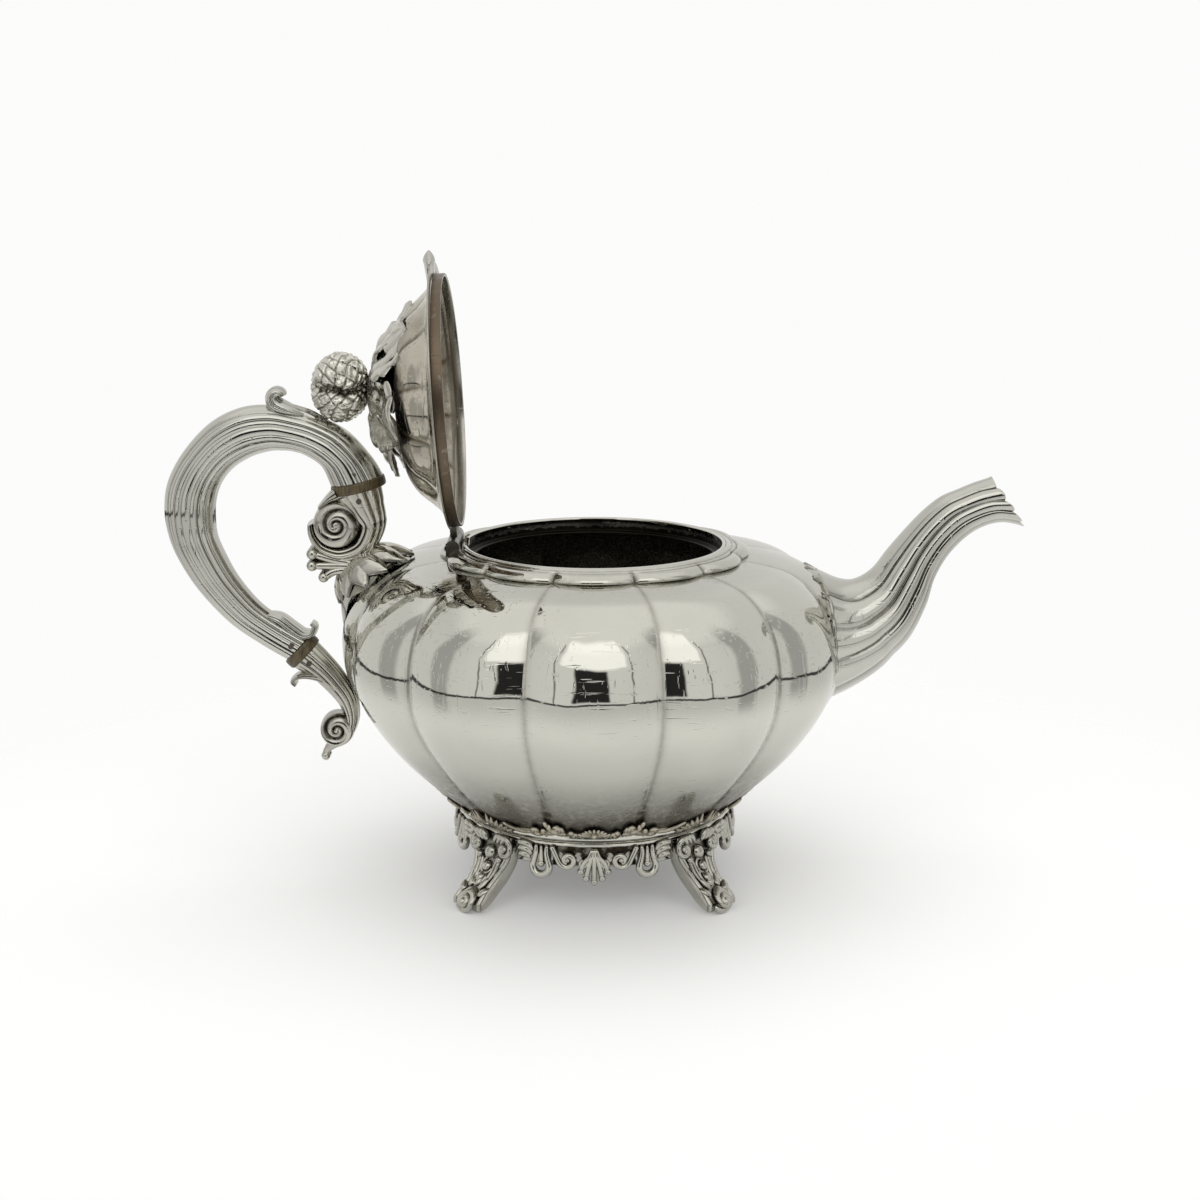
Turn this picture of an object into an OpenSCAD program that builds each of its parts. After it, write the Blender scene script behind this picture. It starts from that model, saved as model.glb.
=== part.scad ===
// Melon teapot of twelve lobes on a cast stand, with a hinged lid standing open.
// Origin: centre of the pot on the surface it stands on. +X to the spout, +Z up.

/* [Body] */
// Greatest radius, at the ridge of a lobe
body_r = 82; // [79:0.5:84]
// Thickness of the body sheet
wall = 0.8; // [0.7:0.1:1.1]
// Number of points around each lobe
lobe_steps = 6; // [4:1:6]

/* [Mouth] */
// Inner radius of the mouth
mouth_r = 41.1; // [41:0.1:41.3]
// Height of the rim above the table
rim_z = 111; // [110.8:0.1:111.2]
// Radius of the collar at the middle of a scallop
collar_r = 49.5; // [48.5:0.5:50.5]

/* [Strainer] */
// Outer radius of the strainer cup
strainer_r = 13; // [12:0.5:13.5]
// Radius of a strainer hole
strainer_hole_r = 1.1; // [0.8:0.1:1.3]
// Height of the strainer's centre
strainer_z = 80; // [79:0.5:81]

/* [Lid] */
// Radius of the lid's edge
lid_r = 40; // [39.5:0.1:40.2]
// Angle from closed at which the lid stands
open_angle = 93.5; // [90:0.5:93.5]
// Depth of the lid's band
bezel_h = 3.2; // [2.6:0.1:3.4]
// Height of the dome above the hinge line
dome_h = 15; // [14:0.5:15]

/* [Hinge] */
// Distance of the hinge line from the pot's axis
hinge_x = 45; // [44.8:0.1:45.2]
// Height of the hinge line
hinge_z = 111.5; // [111.4:0.1:111.8]
// Outer radius of the hinge barrel
barrel_r = 2.1; // [1.9:0.1:2.1]
// Radius of the hinge pin
pin_r = 0.75; // [0.6:0.05:0.9]
// Length of the lid's knuckle
knuckle_len = 9; // [8:0.5:9]

/* [Finial] */
// Radius of the bud
bud_r = 10.9; // [10:0.1:10.9]
// Half of the bud's height
bud_half = 9.4; // [9:0.1:9.6]
// Lean of the finial towards the spout
finial_lean = 7; // [5:0.5:8]

/* [Stand] */
// Radius of the stand's ring
ring_r = 45; // [44.5:0.5:46]
// Distance of a toe from the pot's axis
toe_r = 57; // [55:0.5:58]
// Width of a foot
foot_w = 11; // [9:0.5:13]

/* [Handle] */
// Thickness of the handle's sheet
tube_wall = 0.8; // [0.7:0.1:1.1]
// Radius of the upper insulator
upper_ring_r = 8.6; // [8.4:0.1:8.8]
// Radius of the lower insulator
lower_ring_r = 6.2; // [6:0.1:6.4]
// Radius of the cross pins
cross_pin_r = 0.9; // [0.7:0.1:1]

/* [Hidden] */
$fn = 48;
lobes = 12;
lobe_angle = 360 / lobes;
columns = lobes * lobe_steps;
play = 0.05;
gap = 0.3;
silver = "silver";
aged = "darkgray";
bone = "tan";

// Body profile from the base up: [height, radius over the greatest radius, lobe depth]
body_rows = [
    [24, 0.49, 0], [30, 0.6, 0.02], [38, 0.715, 0.035], [48, 0.835, 0.045], [58, 0.925, 0.045],
    [68, 0.985, 0.045], [78, 1, 0.045], [87, 0.985, 0.045], [94, 0.95, 0.045], [100, 0.885, 0.04],
    [104, 0.805, 0.035], [106, 0.715, 0.03], [107.2, 0.61, 0.02], [107.8, 0.52, 0]
];

// Spout stations: [top x, top z, bottom x, bottom z, half width]
spout_rows = [
    [70.5, 103.5, 78.5, 59, 20], [76.5, 99.3, 86.5, 65, 18], [83.5, 98.4, 95.5, 72, 16],
    [89.5, 101.7, 102.5, 79.5, 14], [94.5, 108.3, 107.5, 90, 12], [100, 115, 110, 99, 10.3],
    [105.5, 121, 114, 106.5, 9.2], [111, 125.5, 119.5, 112.5, 8.4], [116.5, 128, 125, 116, 8],
    [122, 130.3, 131, 117.4, 8], [127, 131.7, 138, 116, 8.5]
];

// Handle stations: [outer x, outer z, inner x, inner z]
handle_rows = [
    [-67.7, 133, -84.4, 129.4], [-71.2, 138.8, -87.1, 135.5], [-78, 146.4, -92, 139],
    [-85.7, 150.8, -96, 140.3], [-94, 153.4, -99.5, 140.6], [-103, 155.2, -103.5, 140.4],
    [-112.6, 154.3, -109.5, 138.6], [-122.3, 149.5, -115.3, 135], [-131, 140.5, -119.2, 130.3],
    [-136.4, 131, -121.3, 124.7], [-138, 122, -121.8, 119], [-137, 113, -121.3, 113],
    [-134, 104.9, -118.8, 106.5], [-128, 94.9, -115, 99.2], [-118.6, 84.3, -108.7, 91.2],
    [-109, 77.2, -101.7, 85.7], [-100.5, 72, -92.7, 80.2]
];

// ---- Curves and skins ----

// Catmull-Rom point at t between b and c
function between(a, b, c, d, t) =
    b + 0.5 * t * ((c - a) + t * ((2 * a - 5 * b + 4 * c - d) + t * (3 * (b - c) + d - a)));

// A smooth run through rows p, with n steps to each span
function smooth(p, n) = concat(
    [for (i = [0:len(p) - 2]) for (k = [0:n - 1])
        between(p[max(i - 1, 0)], p[i], p[i + 1], p[min(i + 2, len(p) - 1)], k / n)],
    [p[len(p) - 1]]
);

// Depth of a lobe's arc at angle a: 0 on the ridge, 1 in the seam
function seam(a) = pow((((a + lobe_angle / 2) % lobe_angle) - lobe_angle / 2) * 2 / lobe_angle, 2);

// Outward normal of the profile p, of [radius, height, lobe depth], at point i
function slope(p, i) = p[min(i + 1, len(p) - 1)] - p[max(i - 1, 0)];
function normal(p, i) = let (s = slope(p, i)) [s[1], -s[0], 0] / norm([s[0], s[1]]);
function inset(p, t) = [for (i = [0:len(p) - 1]) p[i] - t * normal(p, i)];
function backwards(p) = [for (i = [len(p) - 1:-1:0]) p[i]];

// One ring of a lobed wall
function lobed_ring(p) = [for (j = [0:columns - 1]) let (a = j * 360 / columns)
    [p[0] * (1 - p[2] * seam(a)) * cos(a), p[0] * (1 - p[2] * seam(a)) * sin(a), p[1]]];

// Solid through rings of n points; a loop joins its last ring to its first
module skin(rings, loop = false) {
    n = len(rings[0]);
    m = len(rings);
    spans = loop ? m : m - 1;
    sides = [for (i = [0:spans - 1]) for (j = [0:n - 1])
        let (a = i * n + j, b = i * n + (j + 1) % n, c = ((i + 1) % m) * n + j)
        let (d = ((i + 1) % m) * n + (j + 1) % n)
        each [[a, c, d], [a, d, b]]];
    ends = loop ? [] : [[for (j = [0:n - 1]) j], [for (j = [n - 1:-1:0]) (m - 1) * n + j]];
    polyhedron([for (r = rings) each r], concat(sides, ends), convexity = 8);
}

// Body's outer profile as [radius, height, lobe depth], and its radius at a height and angle
body_profile = smooth([for (p = body_rows) [p[1] * body_r, p[0], p[2]]], 1);
ridge_table = [for (p = body_profile) [p[1], p[0]]];
depth_table = [for (p = body_profile) [p[1], p[2]]];
function body_at(z, a) = lookup(z, ridge_table) * (1 - lookup(z, depth_table) * seam(a + 360));

// Distance from the pot's axis along X of the body's skin at width y and height z
function body_x(y, z) = let (a = asin(y / lookup(z, ridge_table))) sqrt(pow(body_at(z, a), 2) - y * y);

// A ring across a station [top x, top z, bottom x, bottom z, half width], shrunk by t
function section(s, t, n) = let (
    c = [s[0] + s[2], s[1] + s[3]] / 2,
    h = [s[0] - s[2], s[1] - s[3]] / 2,
    k = 1 - t / norm(h))
    [for (j = [0:n - 1]) let (a = j * 360 / n)
        [c[0] + h[0] * k * cos(a), (s[4] - t) * sin(a), c[1] + h[1] * k * cos(a)]];

// A round tube of radius r through points p
module cord_tube(p, r, sides = 8) {
    skin([for (i = [0:len(p) - 1])
        let (d = p[min(i + 1, len(p) - 1)] - p[max(i - 1, 0)], u = d / norm(d))
        let (v = cross(u, [1, 0, 0]), w = v / norm(v), q = cross(u, w))
        [for (j = [0:sides - 1]) p[i] + r * (w * cos(-j * 360 / sides) + q * sin(-j * 360 / sides))]]);
}

// Places closed-lid geometry, measured from the hinge line, where the open lid is
module on_lid() {
    translate([-hinge_x, 0, hinge_z]) rotate([0, -open_angle, 0]) children();
}

// Places finial geometry on the dome
module on_finial() {
    on_lid() translate([hinge_x + 4.3, 0, dome_h]) rotate([0, finial_lean, 0]) children();
}

// ---- Body and mouth ----

module body_shell() {
    color(silver) difference() {
        skin([for (p = concat(body_profile, backwards(inset(body_profile, wall)))) lobed_ring(p)]);
        translate([body_r - 20, 0, strainer_z]) rotate([0, 90, 0]) cylinder(r = strainer_r, h = 30);
    }
}

module mouth_collar() {
    step = 1.1;
    profile = [
        [mouth_r + 1.2, 108, 0], [collar_r, 107.3, 0.03], [collar_r + 0.3, 108.6, 0.03],
        [collar_r - 1.6, 109.3, 0.03], [collar_r - 2, 109.9, 0.025], [collar_r - 4, 110.2, 0.015],
        [mouth_r + step + 1, rim_z, 0], [mouth_r + 1.2, rim_z, 0]
    ];
    color(silver) difference() {
        skin([for (p = profile) lobed_ring(p)], loop = true);
        hinge_notch(12.4);
    }
}

// Clear space under the hinge, of half length h
module hinge_notch(h) {
    translate([-hinge_x - 3, -h, rim_z - 2]) cube([9, 2 * h, 5]);
}

module mouth_bezel() {
    ledge_z = rim_z - 4.4;
    color(silver) difference() {
        rotate_extrude() polygon([
            [mouth_r - 2.4, ledge_z - 0.9], [mouth_r + 1.2, ledge_z - 0.9], [mouth_r + 1.2, rim_z],
            [mouth_r, rim_z], [mouth_r, ledge_z], [mouth_r - 2.4, ledge_z]
        ]);
        hinge_notch(knuckle_len / 2 + gap);
    }
}

module strainer_cup() {
    depth = 4;
    plate = 0.8;
    pitch = 3.6;
    color(aged) translate([body_r - depth - 1.4, 0, strainer_z]) rotate([0, 90, 0]) difference() {
        cylinder(r = strainer_r, h = depth);
        translate([0, 0, plate]) cylinder(r = strainer_r - 0.9, h = depth);
        for (i = [-2:2]) for (j = [-2:2])
            if (norm([i + j / 2, j * 0.866]) * pitch < strainer_r - 4)
                translate([(i + j / 2) * pitch, j * 0.866 * pitch, -1])
                    cylinder(r = strainer_hole_r, h = plate + 2);
    }
}

// ---- Spout ----

// Rings of the spout at inset t; the first three ease onto the body's skin
function spout_rings(t) = let (s = smooth(spout_rows, 2), n = 24)
    [for (i = [0:len(s) - 1]) let (r = section(s[i], t, n), w = max(0, 1 - i / 4))
        [for (q = r) [q[0] + w * (body_x(q[1], q[2]) - 0.3 - chord_x(q[2])), q[1], q[2]]]];

// X of the straight line down the spout's root
function chord_x(z) = let (s = spout_rows[0]) s[2] + (s[0] - s[2]) * (z - s[3]) / (s[1] - s[3]);

module spout() {
    rings = concat(spout_rings(0), backwards(spout_rings(tube_wall)));
    color(silver) skin(rings, loop = true);
}

module spout_border() {
    s = spout_rows[0];
    mid = (s[1] + s[3]) / 2;
    tall = (s[1] - s[3]) / 2;
    path = [for (k = [-12:12]) let (a = k * 9, z = mid + tall * cos(a), y = (s[4] + 0.4) * sin(a))
        [body_x(y, z) + 0.3, y, z + 0.4 * cos(a)]];
    color(aged) cord_tube(path, 1.1);
}

// ---- Stand ----

module stand_skirt() {
    color(silver) rotate_extrude($fn = 96) polygon([
        [40.4, 24], [44.4, 26.8], [ring_r, 26.5], [ring_r + 0.4, 25.4], [ring_r - 0.6, 24.5],
        [ring_r, 23.6], [ring_r - 1, 22.4], [42.4, 19.5], [42, 17.2], [42.6, 15.5],
        [41, 15.5], [40.6, 17.5], [40.6, 22]
    ]);
}

module stand_border() {
    thick = 1.5;
    low = 27;
    // Top edge rises in a shell at the four sides and in leaves above the feet
    rings = [for (e = [[0, 0], [0, 1], [0.5, 1.3], [1, 0.6], [1, 0]])
        [for (j = [0:95])
            let (a = j * 3.75, high = 29.4 + 2.2 * abs(cos(6 * a)) + 1.6 * pow(sin(2 * a), 2))
            let (z = low + (high - low) * e[0], r = body_at(z, a) + play + thick * e[1])
            [r * cos(a), r * sin(a), z]]];
    color(aged) skin(rings, loop = true);
}

// One splayed foot at angle a, with a flat sole
module foot(a) {
    color(aged) rotate([0, 0, a]) rotate([90, 0, 0]) {
        linear_extrude(foot_w, center = true) polygon([
            [42.8, 22.3], [45.4, 22.6], [47.6, 20], [47.4, 16], [48.2, 12], [50.6, 8.8],
            [54.4, 7.4], [toe_r + 0.6, 5], [toe_r + 1, 2], [toe_r, 0], [toe_r - 7.5, 0],
            [toe_r - 10.5, 3], [45, 9], [43, 15]
        ]);
        translate([toe_r - 3.6, 4.2, 0]) cylinder(r = 3.6, h = foot_w + 2, center = true);
        translate([45.6, 18.2, 0]) cylinder(r = 3.1, h = foot_w + 2.4, center = true);
    }
}

module front_left_foot() { foot(225); }
module front_right_foot() { foot(315); }
module back_left_foot() { foot(135); }
module back_right_foot() { foot(45); }

// One pierced apron with a fan, two scrolls and two pear drops, at angle a
module apron(a) {
    color(aged) rotate([0, 0, a]) intersection() {
        difference() {
            cylinder(r = 45.6, h = 30, $fn = 96);
            translate([0, 0, -1]) cylinder(r = 43.6, h = 32, $fn = 96);
        }
        translate([30, 0, 0]) rotate([90, 0, 90]) linear_extrude(30) difference() {
            union() {
                translate([-22, 20]) square([44, 2.6]);
                polygon([[-6, 20.5], [-5.4, 15], [-2.6, 11.8], [0, 10.5], [2.6, 11.8], [5.4, 15], [6, 20.5]]);
                for (s = [-1, 1]) {
                    translate([s * 9.6, 18.6]) circle(r = 3.2);
                    translate([s * 17.6, 17.4]) circle(r = 4);
                    translate([s * 17.6 - 2, 17.4]) square([4, 4]);
                }
            }
            for (s = [-1, 1]) {
                translate([s * 9.6, 18.2]) circle(r = 1.1);
                translate([s * 17.6, 17]) circle(r = 1.6);
            }
        }
    }
}

module front_apron() { apron(270); }
module back_apron() { apron(90); }
module spout_side_apron() { apron(0); }
module handle_side_apron() { apron(180); }

// ---- Handle ----

// Places geometry whose +Z runs along the handle at an insulator
module at_insulator(c, tilt) {
    translate([c[0], 0, c[1]]) rotate([0, -tilt, 0]) children();
}

upper_at = [-75.6, 129.5];
upper_tilt = 13;
lower_at = [-95.3, 74.6];
lower_tilt = 46;

// A disc with a spigot into the metal on each side and a hole for each cross pin
module insulator(r, thick, spigot_r, spigot) {
    rotate([90, 0, 0]) rotate([-90, 0, 0]) difference() {
        union() {
            cylinder(r = r, h = thick, center = true);
            cylinder(r = spigot_r, h = thick + 2 * spigot, center = true);
        }
        for (s = [-1, 1]) translate([0, 0, s * (thick + spigot) / 2]) rotate([90, 0, 0])
            cylinder(r = cross_pin_r, h = 2 * r + 4, center = true);
    }
}

// Two cross pins through the metal and the spigots
module cross_pins(r, thick, spigot) {
    for (s = [-1, 1]) translate([0, 0, s * (thick + spigot) / 2]) rotate([90, 0, 0])
        cylinder(r = cross_pin_r, h = 2 * r, center = true);
}

module upper_insulator() {
    color(bone) at_insulator(upper_at, upper_tilt) insulator(upper_ring_r, 3.4, 5.4, 5);
}

module lower_insulator() {
    color(bone) at_insulator(lower_at, lower_tilt) insulator(lower_ring_r, 3.6, 3.6, 4.4);
}

module upper_insulator_pins() {
    color(aged) at_insulator(upper_at, upper_tilt) cross_pins(upper_ring_r - 0.4, 3.4, 5);
}

module lower_insulator_pins() {
    color(aged) at_insulator(lower_at, lower_tilt) cross_pins(lower_ring_r - 0.4, 3.6, 4.4);
}

// Rings of the loop at inset t: as wide as they are deep
function loop_rings(t) = [for (s = smooth(handle_rows, 2))
    section([s[0], s[1], s[2], s[3], norm([s[0] - s[2], s[1] - s[3]]) / 2], t, 20)];

module handle_loop() {
    color(silver) skin(concat(backwards(loop_rings(0)), loop_rings(tube_wall)), loop = true);
}

module thumb_leaf() {
    color(silver) rotate([90, 0, 0]) linear_extrude(9, center = true) polygon([
        [-84.5, 150.6], [-93, 153.8], [-99, 155.6], [-99.6, 158.2], [-101.4, 160.6],
        [-103.4, 159.6], [-104, 156.6], [-102.6, 155.6], [-94, 153], [-86, 150.2]
    ]);
}

// Scroll with a curled volute: the strap is bored for the insulator's spigot
module upper_socket() {
    color(silver) difference() {
        union() {
            rotate([90, 0, 0]) linear_extrude(14, center = true) polygon([
                [-83.6, 125.6], [-67.4, 129.4], [-67.2, 124], [-67.8, 117], [-69.4, 109],
                [-71, 103.5], [-77, 98.5], [-80.4, 101], [-84, 108.5], [-80, 115], [-80.6, 121]
            ]);
            translate([-83, 0, 116]) rotate([90, 0, 0]) cylinder(r = 8, h = 13, center = true);
            rotate([90, 0, 0]) linear_extrude(9, center = true) polygon([
                [-83, 110], [-90.6, 110.6], [-91.4, 104.8], [-88.4, 99], [-85.8, 100],
                [-86.6, 103.6], [-79, 103]
            ]);
        }
        at_insulator(upper_at, upper_tilt) translate([0, 0, -7.2]) cylinder(r = 5.45, h = 12);
    }
}

// Body's skin at place q along its profile's rows and angle a, raised by t, as [x, y, z]
function row_at(q) = let (i = floor(q), f = q - i) body_profile[i] * (1 - f) + body_profile[i + 1] * f;
function raised(q, a, t) = let (
    p = row_at(q),
    d = row_at(q + 0.01) - row_at(q - 0.01),
    u = [d[1], -d[0]] / norm([d[0], d[1]]),
    r = p[0] * (1 - p[2] * seam(a + 360)) + u[0] * t)
    [r * cos(a), r * sin(a), p[1] + u[1] * t];

// Leaf over the shoulder under the handle: swells in the middle and thins out to its edges
module upper_leaf_mount() {
    half_angle = 17;
    swell = 6.4;
    edge = 0.6;
    across = 8;
    along = 6;
    low_row = 7.9;
    high_row = 11.9;
    mid_row = (low_row + high_row) / 2;
    rings = [for (i = [-across:across])
        let (s = i / across, a = 180 + half_angle * s, half = (high_row - low_row) / 2 * (1.04 - s * s))
        concat(
            [for (k = [-along:along]) let (v = k / along)
                raised(mid_row + half * v, a, edge + swell * (1 - s * s) * (1 - v * v))],
            [for (k = [along:-1:-along]) raised(mid_row + half * k / along, a, play)]
        )];
    color(aged) skin(backwards(rings));
}

module lower_socket() {
    color(silver) difference() {
        union() {
            rotate([90, 0, 0]) linear_extrude(10, center = true) polygon([
                [-97.6, 68.4], [-90, 76.6], [-84.5, 72.6], [-79.6, 66], [-76, 60], [-72.6, 53.6],
                [-75.6, 46.5], [-80, 43], [-84.6, 43], [-82, 48], [-83.6, 55], [-87.6, 61], [-93, 65.4]
            ]);
            translate([-84.8, 0, 48.4]) rotate([90, 0, 0]) cylinder(r = 4.8, h = 9, center = true);
            translate([-89, 0, 40.6]) rotate([90, 0, 0]) cylinder(r = 2.2, h = 6, center = true);
            rotate([90, 0, 0]) linear_extrude(5, center = true)
                polygon([[-88.6, 42.6], [-82, 46], [-81, 43], [-88, 39]]);
        }
        at_insulator(lower_at, lower_tilt) translate([0, 0, -6.4]) cylinder(r = 3.65, h = 12);
    }
}

// ---- Hinge ----

// Barrel along Y from y0 to y1, bored for the pin
module barrel(y0, y1) {
    translate([0, y1, 0]) rotate([90, 0, 0]) cylinder(r = barrel_r, h = y1 - y0);
}

module pin_bore(h) {
    rotate([90, 0, 0]) cylinder(r = pin_r + play, h = h, center = true);
}

module body_hinge_knuckles() {
    near = knuckle_len / 2 + gap;
    far = near + 7;
    color(aged) translate([-hinge_x, 0, hinge_z]) difference() {
        for (y = [-far, near]) {
            barrel(y, y + far - near);
            translate([-barrel_r, y, -3]) cube([2 * barrel_r, far - near, 3]);
        }
        pin_bore(2 * far + 2);
    }
}

module hinge_pin() {
    color(aged) translate([-hinge_x, 0, hinge_z]) rotate([90, 0, 0])
        cylinder(r = pin_r, h = knuckle_len + 2 * gap + 14, center = true);
}

// ---- Lid ----

// Dome profile from the edge inwards: [radius, height, lobe depth]
dome_rows = [
    [39.8, 0, 0], [38.4, 1, 0.005], [36, 2.2, 0.02], [33, 5.4, 0.05], [29.5, 9.2, 0.06],
    [24, 12.2, 0.055], [17, 13.9, 0.04], [9, 14.7, 0.02], [4, dome_h, 0]
];

module lid_shell() {
    rows = concat(backwards(inset(dome_rows, wall)), dome_rows);
    color(silver) on_lid() translate([hinge_x, 0, 0]) skin([for (p = rows) lobed_ring(p)]);
}

module lid_bezel() {
    color("rosybrown") on_lid() translate([hinge_x, 0, -bezel_h]) difference() {
        cylinder(r = lid_r, h = bezel_h, $fn = 96);
        translate([0, 0, -1]) cylinder(r = lid_r - 1, h = bezel_h + 2, $fn = 96);
    }
}

module lid_tab() {
    edge = hinge_x + lid_r;
    color(silver) on_lid() translate([0, 0, 0.05]) linear_extrude(1.3)
        polygon([[edge - 0.6, -6], [edge + 3.6, -3.4], [edge + 6.8, 0], [edge + 3.6, 3.4], [edge - 0.6, 6]]);
}

module lid_hinge_knuckle() {
    half = knuckle_len / 2;
    reach = hinge_x - lid_r + 0.4;
    color(aged) on_lid() difference() {
        union() {
            barrel(-half, half);
            translate([0, -half, -1.2]) cube([reach, knuckle_len, 2.2]);
        }
        pin_bore(knuckle_len + 2);
    }
}

// ---- Finial ----

stud_r = 1.5;

module finial_leaves() {
    // Five broad leaves with ragged tips
    outline = [for (k = [0:59]) let (a = k * 6, r = 23 + 4.4 * cos(5 * a) + 1.2 * cos(15 * a))
        [r * cos(a), r * sin(a)]];
    color(aged) on_finial() translate([0, 0, 1]) difference() {
        union() {
            linear_extrude(1.3) polygon(outline);
            translate([0, 0, 1]) cylinder(r1 = 9, r2 = 5, h = 5.4);
        }
        translate([0, 0, -1]) cylinder(r = stud_r + play, h = 10);
    }
}

module finial_bud() {
    outline = [for (k = [0:16]) let (a = k * 11.25 - 90) [bud_r * cos(a), bud_half * sin(a)]];
    color(silver) on_finial() translate([0, 0, 17.4]) difference() {
        rotate_extrude() polygon(outline);
        translate([0, 0, -bud_half - 1]) cylinder(r = stud_r + play, h = bud_half);
    }
}

module finial_stud() {
    color(aged) on_finial() translate([0, 0, -6]) cylinder(r = stud_r, h = 21);
}

module finial_nut() {
    color(aged) on_finial() translate([0, 0, -5]) difference() {
        cylinder(r = 4.2, h = 2.6);
        translate([0, 0, -1]) cylinder(r = stud_r + play, h = 5);
    }
}

body_shell();
mouth_collar();
mouth_bezel();
strainer_cup();
spout();
spout_border();
stand_skirt();
stand_border();
front_left_foot();
front_right_foot();
back_left_foot();
back_right_foot();
front_apron();
back_apron();
spout_side_apron();
handle_side_apron();
upper_socket();
upper_leaf_mount();
lower_socket();
upper_insulator();
lower_insulator();
handle_loop();
thumb_leaf();
upper_insulator_pins();
lower_insulator_pins();
body_hinge_knuckles();
hinge_pin();
lid_shell();
lid_bezel();
lid_tab();
lid_hinge_knuckle();
finial_leaves();
finial_bud();
finial_stud();
finial_nut();
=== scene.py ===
"""Melon-shaped silver teapot with its hinged lid standing open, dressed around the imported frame."""

import logging
import math
from dataclasses import dataclass, replace
from enum import Enum
from typing import Callable

import bmesh
import bpy
import numpy as np
from mathutils import Euler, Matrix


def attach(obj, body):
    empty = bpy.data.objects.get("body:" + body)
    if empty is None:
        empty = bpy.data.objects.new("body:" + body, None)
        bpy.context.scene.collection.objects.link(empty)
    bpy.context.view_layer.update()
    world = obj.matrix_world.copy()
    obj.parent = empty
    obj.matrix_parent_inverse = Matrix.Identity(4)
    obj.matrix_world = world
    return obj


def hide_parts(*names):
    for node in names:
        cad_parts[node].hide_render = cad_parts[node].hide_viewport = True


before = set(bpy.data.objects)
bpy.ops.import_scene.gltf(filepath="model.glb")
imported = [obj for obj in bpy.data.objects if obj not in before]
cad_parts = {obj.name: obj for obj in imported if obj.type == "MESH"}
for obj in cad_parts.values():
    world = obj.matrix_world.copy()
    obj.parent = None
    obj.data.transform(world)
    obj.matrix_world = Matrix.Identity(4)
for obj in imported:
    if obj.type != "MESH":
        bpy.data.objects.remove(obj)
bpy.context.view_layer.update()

MM = 0.001
TAU = 2 * math.pi
UP = np.array([0.0, 0.0, 1.0])
LOG = logging.getLogger("teapot")
Array = np.ndarray
Place = Callable[[Array, Array, Array], Array]


# ---------------------------------------------------------------- meshes


@dataclass
class Shape:
    """A surface in millimetres: points, faces of four and of three, and how sunken each point is; on some
    parts this also carries painted shade.
    """

    points: Array
    quads: Array
    tris: Array
    hollow: Array

    def laid(self, place: Place) -> "Shape":
        """The same surface with its points taken through a map."""
        return replace(self, points=place(*self.points.T))


def circle(count: int) -> Array:
    """Equal steps of angle once round, from 0."""
    return np.arange(count) * TAU / count


def polar(r: Array, angle: Array, z: Array | float) -> Array:
    """Points at distance r from +Z, at an angle and a height."""
    return np.stack(np.broadcast_arrays(r * np.cos(angle), r * np.sin(angle), z), axis=-1)


def unit(vectors: Array) -> Array:
    """The vectors at length 1."""
    return vectors / np.maximum(np.linalg.norm(vectors, axis=-1, keepdims=True), 1e-12)


def bell(x: Array, middle: float, width: float) -> Array:
    """A bell curve: 1 at the middle and 1/e at a width from it."""
    return np.exp(-(((x - middle) / width) ** 2))


def climb(x: Array, start: float, width: float) -> Array:
    """0 up to start, then a straight climb to 1 over the width."""
    return np.clip((x - start) / width, 0, 1)


def raised(path: Array, height: Array | float) -> Array:
    """A path (u, v) with a height n at each point; a path that has heights stays as it is."""
    return np.column_stack([path, np.broadcast_to(height, len(path))]) if path.shape[1] == 2 else path


def inset(profile: Array, distance: float) -> Array:
    """A profile of (radius, height, lobe depth) moved in along its normal."""
    slope = np.gradient(profile, axis=0)
    slope /= np.linalg.norm(slope[:, :2], axis=1)[:, None]
    return profile - distance * np.stack([slope[:, 1], -slope[:, 0], 0 * slope[:, 2]], axis=1)


def tilted(shape: Shape, degrees: float, at: tuple[float, float]) -> Shape:
    """Turns a surface about Y, from +X towards +Z, and moves its origin to (x, z) at."""
    c, s = math.cos(math.radians(degrees)), math.sin(math.radians(degrees))
    return shape.laid(lambda x, y, z: np.stack([at[0] + x * c - z * s, y, at[1] + x * s + z * c], axis=-1))


def merge(shapes: list[Shape]) -> Shape:
    """Puts several surfaces into one.

    Args:
        shapes: the surfaces, each closed in itself.

    Returns:
        One Shape with all their points and faces.
    """
    starts = np.cumsum([0] + [len(s.points) for s in shapes[:-1]])
    return Shape(
        np.concatenate([s.points for s in shapes]),
        np.concatenate([s.quads + k for s, k in zip(shapes, starts)]),
        np.concatenate([s.tris + k for s, k in zip(shapes, starts)]),
        np.concatenate([s.hollow for s in shapes]),
    )


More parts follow.
